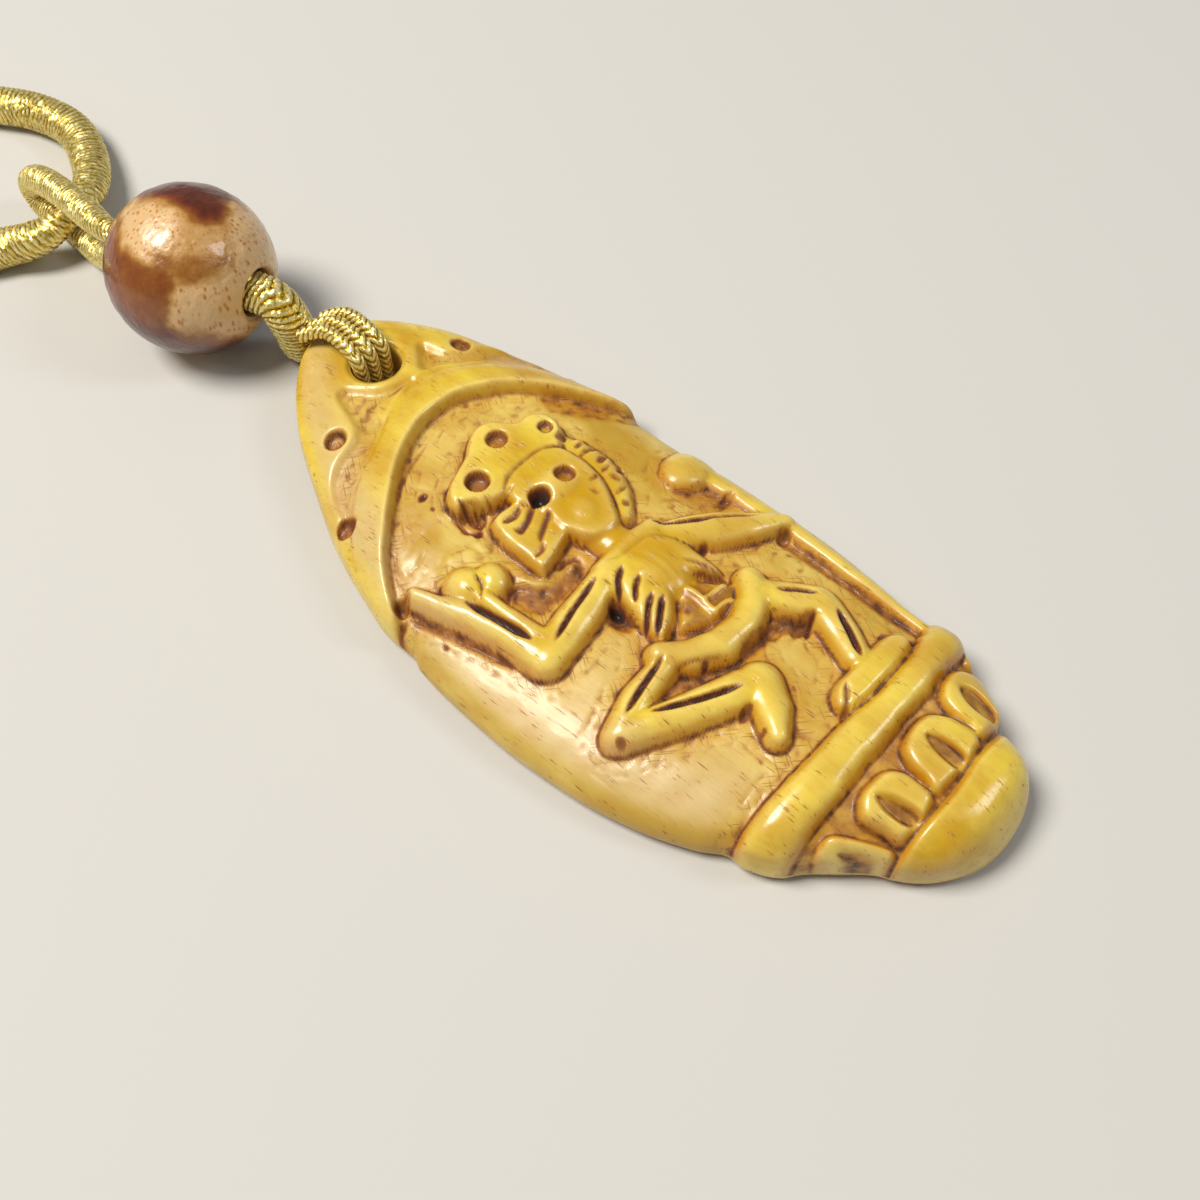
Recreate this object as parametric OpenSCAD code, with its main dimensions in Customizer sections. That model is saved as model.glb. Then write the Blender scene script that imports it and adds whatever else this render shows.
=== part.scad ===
// Carved bone amulet pendant on its gold-thread cord. All sizes are in millimetres.
// The pendant lies on its flat back at z = 0. +Y runs from its foot to its drilled tip
// and +X to the right of someone who faces the carving. The cord is laid out round it.

/* [Pendant] */
// Length of the carved bone, foot to tip
pendant_l = 67; // [65:0.5:68.5]
// Height of the bone's crest above its back, without the figure
crest_h = 5.3; // [4.5:0.1:6.5]
// Height of the widest line of the rounded edge
edge_h = 1.4; // [1:0.1:2]
// How far the figure stands out of its ground
relief_h = 2; // [1.4:0.1:2.6]
// Diameter of the hole that is drilled near the tip
hole_d = 4.2; // [4:0.1:4.8]

/* [Bead] */
// Diameter of the round bead
bead_d = 13.8; // [13.4:0.1:14.4]
// Diameter of the hole through the bead
bead_bore_d = 4; // [3.8:0.1:4.4]

/* [Cords] */
// Thickness of the wrapped neck cord
neck_cord_d = 3.5; // [3:0.1:3.6]
// Thickness of the cord of the bail loop
bail_cord_d = 2.5; // [2.2:0.1:2.6]
// Thickness of each braided strand through the pendant
strand_d = 1.15; // [1:0.05:1.2]
// Thickness of the knot between the bead and the pendant
knot_d = 3.4; // [3:0.1:3.5]

/* [Hidden] */
$fn = 64;

// Lengthwise places on the bone are charted for a 67 mm pendant and stretched to fit
chart_l = 67;
stretch = pendant_l / chart_l;
hole_x = 0;
hole_y = 26.5;
cord_shift = hole_y * (stretch - 1);

// The bead stands beyond the tip, with its bore level and turned a little off the bone's axis
bead_x = -3.9;
bead_y = 43.7;
bead_bore_turn = 16;
// The sleeve that joins the neck cord's two ends, at the far end of the loop
sleeve_x = -155.2;
sleeve_y = 248.4;
sleeve_turn = 40;
sleeve_d = 5.2;
sleeve_l = 14;
sleeve_z = sleeve_d / 2;

// The bone's outline: y, left edge, right edge
outline = [
    [-33.7, -2.1, 1.6], [-32.6, -4.1, 3.7], [-31, -6.1, 5], [-29.2, -7.3, 5.6],
    [-28.3, -7.7, 6.6], [-26, -9.6, 7.9], [-24.4, -11, 8.8], [-22.3, -12.8, 9.9],
    [-20.6, -13.2, 9.9], [-18, -14.3, 10.1], [-14, -15.8, 10.9], [-9, -16.8, 11.3],
    [-3, -17.2, 11.1], [2, -17, 10.8], [6.5, -16.4, 10.7], [9, -16.1, 10.9],
    [13, -15.1, 10.5], [18, -13.3, 9.7], [23, -10.7, 8.2], [27, -8.4, 6.5],
    [30, -6, 4.7], [32, -3.8, 2.9], [33.3, -1.7, 0.9]
];
// The ground's crest along the bone, as a share of crest_h: y, share
crest = [[-33.7, 0.42], [-32.6, 0.68], [-31, 0.84], [-29, 0.93], [-24, 0.98], [-8, 1],
    [10, 1], [18, 0.93], [24, 0.84], [28, 0.75], [31, 0.64], [33.3, 0.42]];
// The underside of the tip is cut back, so the strands pass under it: y, height
under = [[-34, 0], [21.5, 0], [26, 1.5], [34, 1.6]];

// The arch over the figure: x, inner crest, outer edge
arch = [
    [-16, 8.6, 9.5], [-14.8, 10.8, 13.3], [-13.1, 13, 15.2], [-11.1, 14.6, 17.4],
    [-8.8, 16.2, 19], [-6.1, 17.5, 20.4], [-3.4, 18.3, 22.2], [-0.6, 18.6, 22],
    [1.2, 18.3, 22], [3, 17.4, 21], [4.8, 16, 19.5], [6.9, 14.4, 17],
    [8.5, 12.6, 14.8], [9.8, 10.4, 12.6], [11, 8.2, 9.5]
];
// The border's inner edge above the hollows beside the hole: x, y
border = [[-16, 10], [-12.2, 17.7], [-11.2, 20], [-9.8, 21], [-6.3, 21.9], [-5.2, 24.2],
    [-4.2, 26.4], [-2.8, 25.2], [-1.6, 23.6], [-0.5, 22.8], [0.9, 23.4], [2.5, 24.7],
    [3.7, 25.3], [4.8, 22.6], [6, 20.4], [7.8, 17.8], [9.5, 13.4], [11, 9.6]];

// Limbs and rolls of the figure: x1, y1, r1, x2, y2, r2, share of relief_h
limbs = [
    [-1.1, 2.2, 1.2, -1.1, -0.6, 1.3, 0.85],
    [-3.6, -0.9, 1.1, 1.2, -0.9, 1.1, 0.9],
    [-4.2, -1, 1.3, -11.6, -2.3, 1.6, 0.85],
    [-11.9, -2.2, 1.6, -12, 2.2, 1.6, 0.85],
    [-12, 2.2, 1.6, -13.3, 6.5, 1.1, 0.8],
    [-13.3, 6.5, 1.1, -13.6, 8.6, 0.7, 0.7],
    [1.5, -2, 1.5, 5, -4.6, 1.8, 0.8],
    [5, -4.6, 1.8, 8.8, -7.4, 1.2, 0.75],
    [9, -1.6, 0.9, 8.9, -6.5, 0.8, 0.5],
    [8.9, -7.5, 0.9, 8.3, -20, 0.8, 0.55],
    [-1.2, -5.2, 2.6, -1.1, -7.6, 2, 0.75],
    [-6.1, -8.5, 1.1, -4.5, -10.3, 1.3, 0.85],
    [-4.5, -10.3, 1.3, -2.1, -11.3, 1.4, 0.95],
    [-2.1, -11.3, 1.4, 0.4, -11.1, 1.4, 0.95],
    [0.4, -11.1, 1.4, 2.4, -9.4, 1.2, 0.85],
    [-6.5, -9.1, 1.3, -12.6, -9.6, 1.2, 0.85],
    [-12.5, -9.9, 1.3, -5, -14.1, 1.6, 0.85],
    [-4, -15.2, 1.8, -5.6, -17.6, 1.3, 0.85],
    [2.3, -10.8, 1.5, 4.4, -13.8, 1.6, 0.8],
    [4.4, -14.2, 1.5, 2.4, -18.4, 1.2, 0.75],
    [-0.6, -20.1, 1, 5, -19.9, 1, 0.65],
    [-7, 9.8, 0.7, -7.2, 2.2, 0.7, 0.45],
    [-5, 10.4, 1.3, -1, 10.8, 1.5, 0.95],
    [-1, 10.8, 1.5, 2.8, 10.2, 1.2, 0.95],
    [3, 9, 0.9, 3, 4.4, 0.8, 0.6],
    [3, 4.4, 0.8, 1, 1.5, 0.7, 0.5]
];
// Round forms of the figure: x, y, half width, half length, share of relief_h
knobs = [
    [-4.3, 11.1, 1.9, 1.9, 1], [-0.5, 12.9, 1.9, 1.9, 1], [3, 10.9, 1.5, 1.6, 0.9],
    [-0.5, 6.9, 3, 3, 1.1], [-0.9, 4, 2.2, 2.6, 1], [-1.3, -3.6, 3.5, 3.6, 0.95],
    [-4.4, 5.4, 2, 2.8, 0.75], [-10.9, 6, 1.6, 1.9, 0.9], [-9.5, 4.8, 1.5, 1.6, 0.8],
    [8.2, 1, 2.6, 2.1, 0.75]
];
// Drilled dots and sockets: x, y, radius, depth
pits = [
    [-4.2, 11.1, 0.9, 1.2], [-0.35, 12.8, 0.9, 1.2], [3.1, 10.9, 0.7, 0.9],
    [-2.3, 6.7, 0.85, 1.3], [0.4, 6.8, 0.8, 1.2], [-7.7, 23.2, 0.9, 1],
    [-12.7, 17, 0.8, 0.9], [5.7, 22.9, 0.85, 1], [-1.1, -8, 1.7, 0.8]
];
// The lotus foot: the roll's middle and half width, the petals' and the cap's edges
roll_y = -22.3;
roll_r = 1.8;
petal_top_y = -24.5;
petal_end_y = -28.6;
petal_seams = [-7.3, -2.9, 2.1, 6.8];
petal_loops = [-5.4, -0.4, 4.1];

function smooth(a, b, x) = let (t = min(1, max(0, (x - a) / (b - a)))) t * t * (3 - 2 * t);
function column(table, i) = [for (row = table) [row[0], row[i]]];
left_edge = column(outline, 1);
right_edge = column(outline, 2);
arch_in = column(arch, 1);
arch_out = column(arch, 2);
function slant(table, x) = 1 / sqrt(1 + pow(lookup(x + 0.5, table) - lookup(x - 0.5, table), 2));

// Plain convex ground of the bone, with a rounded edge
function ground(x, y) = let (
        l = lookup(y, left_edge), r = lookup(y, right_edge),
        t = min(1, abs((2 * x - l - r) / (r - l))))
    edge_h + (crest_h * lookup(y, crest) - edge_h) * sqrt(1 - t * t * t);

// A limb is a round-topped roll between two points
function limb(x, y, a) = let (
        dx = a[3] - a[0], dy = a[4] - a[1],
        t = min(1, max(0, ((x - a[0]) * dx + (y - a[1]) * dy) / (dx * dx + dy * dy))),
        d = norm([x - a[0] - t * dx, y - a[1] - t * dy]) / (a[2] + t * (a[5] - a[2])))
    d < 1 ? a[6] * pow(1 - d * d, 0.45) : 0;
function knob(x, y, a) = let (d = norm([(x - a[0]) / a[2], (y - a[1]) / a[3]]))
    d < 1 ? a[4] * pow(1 - d * d, 0.45) : 0;
function pit(x, y, a) = let (d = norm([x - a[0], y - a[1]]) / a[2]) d < 1 ? a[3] * (1 - d * d) : 0;
function figure(x, y) = relief_h * max(concat(
        [for (a = limbs) limb(x, y, a)], [for (a = knobs) knob(x, y, a)]));

// Arch and border stand above the field, with hollows between them
function top_forms(x, y) = let (
        inner = (y - lookup(x, arch_in)) * slant(arch_in, x),
        outer = (y - lookup(x, arch_out)) * slant(arch_out, x),
        rim = y - lookup(x, border))
    inner < -0.9 ? 0 :
    max(1.4 * smooth(-0.9, 0, inner) * (1 - smooth(-0.2, 0.5, outer)),
        0.5 * smooth(-0.2, 0.4, outer), 1.1 * smooth(-0.3, 0.4, rim) * smooth(-0.2, 0.4, outer));

// Roll, petals with grooves and loops between them, and the rounded cap
function foot_forms(x, y) = let (
        roll = abs(y - roll_y) / roll_r,
        petals = smooth(petal_top_y + 0.2, petal_top_y - 0.4, y) * smooth(petal_end_y, petal_end_y + 0.5, y),
        seam = max([for (s = petal_seams) 1 - smooth(0.1, 0.6, abs(x - s - 0.12 * (y - petal_top_y)))]),
        loop = max([for (s = petal_loops)
            1 - smooth(0.6, 1, norm([(x - s) / 0.8, (y - petal_end_y - 1.3) / 1.8]))]))
    max(roll < 1 ? 1.7 * sqrt(1 - roll * roll) : 0,
        petals * (1.3 - 0.8 * seam - 0.4 * loop),
        1 * smooth(petal_end_y - 0.2, petal_end_y - 0.8, y) * smooth(-33.7, -31.5, y));

function front_z(x, y) = let (g = ground(x, y), fade = smooth(edge_h, edge_h + 1.2, g))
    g + fade * (max(y < petal_top_y + 4.6 ? foot_forms(x, y) : 0, y > 7 ? top_forms(x, y) : 0,
        figure(x, y)) - max([for (a = pits) pit(x, y, a)]));

// The bone's skin: one ring of points for each of the rows across it
rows = 80;
cols = 50;
under_inset = 1.1;
function spread(u) = 0.5 - 0.5 * (0.35 * cos(180 * u) + 0.65 * (1 - 2 * u));
function ring(y) = let (l = lookup(y, left_edge), r = lookup(y, right_edge), s = y * stretch) concat(
    [for (i = [0:cols]) let (x = l + (r - l) * spread(i / cols)) [x, s, front_z(x, y)]],
    [[r - min(under_inset, (r - l) / 4), s, lookup(y, under)],
     [l + min(under_inset, (r - l) / 4), s, lookup(y, under)]]);
function skin_faces(n, k) = concat(
    [[for (i = [0:k - 1]) i]],
    [[for (i = [k - 1:-1:0]) (n - 1) * k + i]],
    [for (j = [0:n - 2], i = [0:k - 1]) let (a = j * k + i, b = j * k + (i + 1) % k) [a, a + k, b]],
    [for (j = [0:n - 2], i = [0:k - 1]) let (a = j * k + i, b = j * k + (i + 1) % k) [b, a + k, b + k]]);

module carved_pendant() color("goldenrod") difference() {
    foot_y = outline[0][0];
    tip_y = outline[len(outline) - 1][0];
    rings = [for (j = [0:rows]) ring(foot_y + (tip_y - foot_y) * spread(j / rows))];
    polyhedron([for (r = rings) each r], skin_faces(rows + 1, cols + 3), convexity = 8);
    translate([hole_x, hole_y * stretch, -1]) cylinder(d = hole_d, h = crest_h + relief_h + 4);
}

// Routes of the cords. A row is x, y, z and the share of the cord's own radius there.
// The knotted cord comes out of the bead's bore and drops to the pendant's tip.
knot_route = [
    [-4.1, 44.5, 6.9, 0.95], [-3, 40.6, 6.9, 0.95], [-2, 37.1, 6.9, 0.95], [-1.7, 36, 6.6, 0.95],
    [-1.5, 35.5, 5.6, 1], [-1.2, 35.4, 4.2, 1], [-1, 35.3, 2.6, 1], [-0.9, 35.2, 1.3, 0.9],
    [-0.9, 35.1, 0.5, 0.6]
];
// A strand goes over the tip, down the hole and back below: share across, y, z
strand_route = [
    [0, 33.2, 4.8], [0.5, 32.4, 5.4], [0.9, 31.2, 5.95], [0.85, 29.8, 6.25], [0.7, 28.4, 6.3],
    [0.64, 27.4, 5.8], [0.64, 27.05, 4.6], [0.64, 27.05, 1.9], [0.66, 27.5, 1], [0.8, 28.6, 0.72],
    [0.9, 30, 0.7], [0.7, 32, 0.7], [0.1, 33.3, 0.75]
];
strand_pitch = 1.25;
strand_middle = 0.4;
strand_start = -0.7;
// The bail's loop leaves the bore, passes over the neck cord and comes back below it
bail_route = [
    [-5.3, 48, 7.75, 0.62], [-5.8, 50.2, 7.75, 0.64], [-5.9, 52.2, 7.6, 0.85], [-5.6, 54.6, 7.2, 1],
    [-5.2, 57.4, 6.6, 1], [-4.9, 60, 6.2, 1], [-4.7, 63, 5.5, 1], [-4.6, 65.2, 4.3, 1],
    [-4.5, 66.1, 2.8, 1], [-4.5, 65.2, 1.55, 1], [-4.6, 62.6, 1.3, 1], [-4.8, 59.4, 1.3, 1],
    [-5.1, 56, 1.6, 1], [-5.5, 53.6, 3.2, 0.95], [-5.8, 51.8, 5, 0.8], [-5.8, 50.2, 6, 0.64],
    [-5.3, 48, 6.05, 0.62]
];
// The neck cord lies on the surface in one open loop, and is squeezed inside the bail
neck_route = [
    [-149.6, 253.1, 2.6, 1], [-144, 257.4, 2.2, 1], [-130, 263, 1.8, 1], [-102, 267, 1.8, 1],
    [-71, 257, 1.8, 1], [-48, 236, 1.8, 1], [-32, 207, 1.8, 1], [-20, 175, 1.8, 1],
    [-11.5, 140, 1.8, 1], [-6, 104, 1.8, 1], [-4, 91, 1.8, 1], [-2, 84, 1.8, 1],
    [0.6, 79.5, 1.8, 1], [2.6, 75.5, 1.8, 1], [3.2, 71, 1.8, 1], [1.6, 66.5, 1.9, 1],
    [-1.2, 62.4, 2.8, 0.88], [-4.8, 60, 3.72, 0.58], [-8, 60.7, 2.8, 0.88], [-10.8, 63.2, 1.9, 1],
    [-17, 66.6, 1.8, 1], [-36, 76, 1.8, 1], [-70, 90, 1.8, 1], [-104, 103, 1.8, 1],
    [-135, 119, 1.8, 1], [-161, 139, 1.8, 1], [-178, 166, 1.8, 1], [-182, 197, 1.8, 1],
    [-175, 225, 1.8, 1], [-166.5, 238.2, 2.2, 1], [-160.8, 243.7, 2.6, 1]
];

function place(a) = [a[0], a[1], a[2]];
function unit(v) = v / norm(v);
// Direction of a route at point i, and a smooth curve through its points
function heading(route, i) = unit(place(route[min(i + 1, len(route) - 1)]) - place(route[max(i - 1, 0)]));
function between(route, i, t) = let (
        a = route[i], b = route[i + 1], span = norm(place(b) - place(a)),
        p = heading(route, i) * span, q = heading(route, i + 1) * span,
        at = (2 * pow(t, 3) - 3 * t * t + 1) * place(a) + (pow(t, 3) - 2 * t * t + t) * p
            + (3 * t * t - 2 * pow(t, 3)) * place(b) + (pow(t, 3) - t * t) * q)
    [at[0], at[1], at[2], a[3] + (b[3] - a[3]) * t];
function steps(route, i, pitch) = max(pitch < 5 ? 1 : 2, round(norm(place(route[i + 1]) - place(route[i])) / pitch));
function curve(route, pitch) = concat(
    [for (i = [0:len(route) - 2], n = [steps(route, i, pitch)], k = [0:n - 1]) between(route, i, k / n)],
    [route[len(route) - 1]]);
// A tube of the given radius along a curve. ref is square to most of the route.
module cord(route, radius, sides, ref, pitch) {
    points = curve(route, pitch);
    rings = [for (i = [0:len(points) - 1])
        let (along = heading(points, i), side = unit(cross(ref, along)), lift = cross(along, side))
        [for (k = [0:sides - 1]) place(points[i]) + radius * points[i][3]
            * (cos(360 * k / sides) * side + sin(360 * k / sides) * lift)]];
    translate([0, cord_shift, 0])
        polyhedron([for (r = rings) each r], skin_faces(len(points), sides), convexity = 10);
}

module hanger_strand(i) color("khaki") cord(
    [for (a = strand_route) let (offset = (i - 1) * strand_pitch)
        [strand_start + (strand_middle - strand_start) * a[0] + offset, a[1], a[2], 1]],
    strand_d / 2, 6, [1, 0, 0], 1);
module knotted_cord() color("darkkhaki") cord(knot_route, knot_d / 2, 12, [1, 0, 0], 1.2);
module bail_loop() color("khaki") cord(bail_route, bail_cord_d / 2, 10, [1, 0, 0], 1.6);
module neck_cord() color("gold") cord(neck_route, neck_cord_d / 2, 8, [0, 0, 1], 9);
module bead() color("peru") translate([bead_x, bead_y + cord_shift, bead_d / 2]) difference() {
    sphere(d = bead_d);
    rotate([0, 0, bead_bore_turn]) rotate([90, 0, 0]) cylinder(d = bead_bore_d, h = 2 * bead_d, center = true);
}
module closure_sleeve() color("gold") translate([sleeve_x, sleeve_y + cord_shift, sleeve_z])
    rotate([0, 0, sleeve_turn]) rotate([0, 90, 0]) cylinder(d = sleeve_d, h = sleeve_l, center = true);

carved_pendant();
hanger_strand(0);  // hanger_strand_1
hanger_strand(1);  // hanger_strand_2
hanger_strand(2);  // hanger_strand_3
knotted_cord();
bead();
bail_loop();
neck_cord();
closure_sleeve();
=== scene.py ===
# %% [markdown]
# A carved bone pendant on a gold-thread cord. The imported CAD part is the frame: it says where each
# piece lies and how large it is. This script dresses that frame. It keeps the CAD's places and
# replaces the plain solids with carved bone, a glazed bead and wound cords.

# %% Frame and helpers
import math
import bpy
import numpy as np
from mathutils import Matrix, Vector, noise


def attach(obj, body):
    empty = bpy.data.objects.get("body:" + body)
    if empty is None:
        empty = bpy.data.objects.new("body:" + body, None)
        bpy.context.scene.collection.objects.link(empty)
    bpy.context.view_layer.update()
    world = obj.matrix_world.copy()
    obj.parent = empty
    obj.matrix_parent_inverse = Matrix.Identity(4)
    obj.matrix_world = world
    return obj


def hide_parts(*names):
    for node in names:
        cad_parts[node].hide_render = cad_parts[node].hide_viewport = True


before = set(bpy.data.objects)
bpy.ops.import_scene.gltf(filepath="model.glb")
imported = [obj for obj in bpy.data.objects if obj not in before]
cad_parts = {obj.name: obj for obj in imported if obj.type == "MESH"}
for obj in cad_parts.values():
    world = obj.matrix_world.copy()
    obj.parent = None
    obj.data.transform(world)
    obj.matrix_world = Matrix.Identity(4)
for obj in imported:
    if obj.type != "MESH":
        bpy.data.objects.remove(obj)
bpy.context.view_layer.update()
MM = 0.001
print("nodes:", sorted(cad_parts))


def srgb(text):
    """Turns a hex colour, as a colour picker gives it, into the linear values that shaders use."""
    parts = [int(text[i:i + 2], 16) / 255 for i in (1, 3, 5)]
    return tuple(c / 12.92 if c <= 0.04045 else ((c + 0.055) / 1.055) ** 2.4 for c in parts) + (1.0,)


def add_node(tree, kind, inputs=None, stops=None, **settings):
    """Adds one node. settings are its own options; inputs are values, hex colours, or what feeds a socket.

    A key of inputs is a socket's name or its place in the list, and a node as a value means its first
    output. stops fill a colour ramp with places and colours."""
    node = tree.nodes.new(kind)
    for name, value in settings.items():
        setattr(node, name, value)
    for key, value in (inputs or {}).items():
        named = [s for s in node.inputs if s.enabled and s.name == key]
        socket = named[0] if named else node.inputs[key]
        if isinstance(value, bpy.types.Node):
            value = next(s for s in value.outputs if s.enabled)
        if isinstance(value, bpy.types.NodeSocket):
            tree.links.new(value, socket)
        else:
            socket.default_value = srgb(value) if isinstance(value, str) and value[:1] == "#" else value
    for k, (at, shade) in enumerate(stops or []):
        elements = node.color_ramp.elements
        element = elements[k] if k < len(elements) else elements.new(at)
        element.position = at
        element.color = srgb(shade) if isinstance(shade, str) else (shade, shade, shade, 1)
    return node


def new_material(name, values):
    """Starts a material with these plain values on its shader's own sockets."""
    material = bpy.data.materials.new(name)
    material.use_nodes = True
    shader = material.node_tree.nodes["Principled BSDF"]
    for socket, value in values.items():
        shader.inputs[socket].default_value = value
    return material, material.node_tree, shader


def new_object(name, data):
    """Makes an object of some data and links it to the scene."""
    thing = bpy.data.objects.new(name, data)
    bpy.context.scene.collection.objects.link(thing)
    return thing


# %% [markdown]
# The camera comes first, so that each piece can be judged in the photograph's own view. It was taken
# from 58 degrees above the table, 106 mm from the pendant, so near things look clearly larger than far
# ones. A 42 mm lens on a 36 mm square frame gives the same view.

# %% Camera
camera_data = bpy.data.cameras.new("camera")
camera_data.sensor_fit = "HORIZONTAL"
camera_data.sensor_width = 36
camera_data.lens = 42
camera_data.clip_start = 0.005
camera = new_object("camera", camera_data)
bpy.context.scene.camera = camera
camera_at = np.array([-45.375, -36.491, 89.880]) * MM
looks_at = np.array([-2.914, 0.269, 0]) * MM
forward = (looks_at - camera_at) / np.linalg.norm(looks_at - camera_at)
sideways = np.array([0.6545, -0.7560, 0])
upward = np.cross(sideways, forward)
rotation = [list(row) for row in np.stack([sideways, upward, -forward], axis=1)]
camera.matrix_world = Matrix.Translation(camera_at) @ Matrix(rotation).to_4x4()
print("camera is %.0f mm from the pendant" % (np.linalg.norm(looks_at - camera_at) / MM))

# %% [markdown]
# The floor is a plain pale sheet. The light is soft: a large panel beyond the top of the picture, where
# the photograph's highlights come from, a weaker one opposite, and an even pale sky that fills the
# shadows.

# %% Floor and light
# In metres, so that the sheet runs out of the picture on every side
FLOOR_REACH = 1.5
floor_mesh = bpy.data.meshes.new("floor")
corners = [(x * FLOOR_REACH, y * FLOOR_REACH, 0) for x, y in ((-1, -1), (1, -1), (1, 1), (-1, 1))]
floor_mesh.from_pydata(corners, [], [(0, 1, 2, 3)])
floor = new_object("floor", floor_mesh)
paper = new_material("matt_paper", {"Base Color": srgb("#c4c2bd"), "Roughness": 0.9})[0]
floor_mesh.materials.append(paper)


def add_panel(name, place, aim, size, power, colour):
    """Hangs a soft light that faces a point. Places are in millimetres."""
    data = bpy.data.lights.new(name, "AREA")
    data.shape = "ELLIPSE"
    data.size, data.size_y = size[0] * MM, size[1] * MM
    data.energy = power
    data.color = srgb(colour)[:3]
    lamp = new_object(name, data)
    lamp.rotation_euler = (Vector(aim) - Vector(place)).to_track_quat("-Z", "Y").to_euler()
    lamp.location = Vector(place) * MM
    print("%s light: %.0f mm away" % (name, (Vector(place) - Vector(aim)).length))


# Right in the picture is (0.65, -0.76) in the frame, and up in the picture is (0.76, 0.65)
add_panel("window", (-225, 245, 608), (-5, 10, 0), (300, 300), 5.6, "#fffaf2")
add_panel("fill", (292, -352, 450), (0, 0, 0), (165, 240), 0.85, "#f3f6ff")
world = bpy.data.worlds.new("studio")
world.use_nodes = True
sky = world.node_tree.nodes["Background"]
sky.inputs["Color"].default_value = srgb("#f4f4f2")
sky.inputs["Strength"].default_value = 0.27
bpy.context.scene.world = world
bpy.context.scene.view_settings.view_transform = "Standard"

# %% [markdown]
# The pendant is one slab of bone, carved by hand with a graver and then polished. Every form on it is
# a height above the slab's domed ground, so the whole face is one height field: a few kinds of cut and
# roll, each with its own small table of places. A table row is what a carver would mark on the blank.
# All places are in millimetres from the middle of the flat back, with +Y towards the drilled hole.
# Soft steps and smooth curves come first, because every form is made of them.

# %% Soft steps and smooth curves
TINY, FAR = 1e-12, 1e9


def ease(low, high, value):
    """0 below low, 1 above high, and a smooth turn between."""
    t = np.clip((value - low) / (high - low), 0, 1)
    return t * t * (3 - 2 * t)


def between(t, start, end, leave, arrive):
    """The smooth curve from start to end that leaves and arrives with the given slopes."""
    return ((2 * t ** 3 - 3 * t ** 2 + 1) * start + (t ** 3 - 2 * t ** 2 + t) * leave
            + (3 * t ** 2 - 2 * t ** 3) * end + (t ** 3 - t ** 2) * arrive)


def through(table, at, column=1):
    """A smooth curve through a table's column, without overshoot between its rows."""
    rows = np.array([[row[0], row[column]] for row in sorted(table)], float)
    x, y = rows[:, 0], rows[:, 1]
    slope = np.diff(y) / np.diff(x)
    same_way = slope[1:] * slope[:-1] > 0
    mean = 2 * slope[1:] * slope[:-1] / (slope[1:] + slope[:-1] + TINY)
    lean = np.concatenate([[slope[0]], np.where(same_way, mean, 0), [slope[-1]]])
    at = np.clip(at, x[0], x[-1])
    i = np.clip(np.searchsorted(x, at) - 1, 0, len(x) - 2)
    span = x[i + 1] - x[i]
    return between((at - x[i]) / span, y[i], y[i + 1], span * lean[i], span * lean[i + 1])


def smooth(points, closed=True, steps=4):
    """The curve through marked points, as a finer line of points."""
    rows = np.array(points, float)
    ends = (rows[-1:], rows[:2]) if closed else (2 * rows[:1] - rows[1:2], 2 * rows[-1:] - rows[-2:-1])
    rows = np.vstack([ends[0], rows, ends[1]])
    line = []
    for a, b, c, d in zip(rows, rows[1:], rows[2:], rows[3:]):
        line += [tuple(between(t, b, c, (c - a) / 2, (d - b) / 2)) for t in np.arange(steps) / steps]
    return line + ([] if closed else [tuple(points[-1])])


print("a soft step, a quarter of the way up: %.3f" % ease(0, 1, 0.25))

# %% [markdown]
# Two questions are asked of every marked line: how far away it is, and how far along it the nearest
# place lies. An outline is asked a third one, whether a point is inside. Each is answered for all points
# of the face at once, with numpy arrays.

# %% Distances
def to_segment(x, y, a, b):
    """The share of the way from a to b where the nearest place lies, and the distance to it."""
    dx, dy = b[0] - a[0], b[1] - a[1]
    t = np.clip(((x - a[0]) * dx + (y - a[1]) * dy) / (dx * dx + dy * dy + TINY), 0, 1)
    return t, np.hypot(x - a[0] - t * dx, y - a[1] - t * dy)


def along_line(x, y, points):
    """Distance from a line of points, the share of the way along it, and its rows' last value there."""
    best, run, last = np.full(x.shape, FAR), np.zeros(x.shape), np.zeros(x.shape)
    lengths = [math.dist(a[:2], b[:2]) for a, b in zip(points, points[1:])]
    start = 0
    for a, b, length in zip(points, points[1:], lengths):
        t, gap = to_segment(x, y, a, b)
        near = gap < best
        best = np.where(near, gap, best)
        run = np.where(near, (start + t * length) / sum(lengths), run)
        last = np.where(near, a[-1] + t * (b[-1] - a[-1]), last)
        start += length
    return best, run, last


def inside(x, y, corners):
    """Signed distance to a closed outline: positive inside it."""
    best, odd = np.full(x.shape, FAR), np.zeros(x.shape, bool)
    for a, b in zip(corners, corners[1:] + corners[:1]):
        best = np.minimum(best, to_segment(x, y, a, b)[1])
        crosses = (a[1] > y) != (b[1] > y)
        odd ^= crosses & (x < a[0] + (y - a[1]) * (b[0] - a[0]) / (b[1] - a[1] or TINY))
    return np.where(odd, best, -best)


square, middle = [(-1, -1), (1, -1), (1, 1), (-1, 1)], np.zeros(1)
print("the middle of a 2 mm square is %.0f mm inside" % inside(middle, middle, square)[0])

# %% [markdown]
# The carver needs only a few kinds of form: a roll for a limb, a boss for a knee, a plate for a flat
# face, and the graver's tapering cut. Where two meet, the higher one wins, with a soft fillet between.

# %% The carver's kinds of form
def roll(x, y, points, height, power=0.5):
    """A round-topped roll along points of x, y, radius. A lower power gives steeper sides."""
    gap, _, radius = along_line(x, y, points)
    return height * np.clip(1 - (gap / radius) ** 2, 0, 1) ** power


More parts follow.
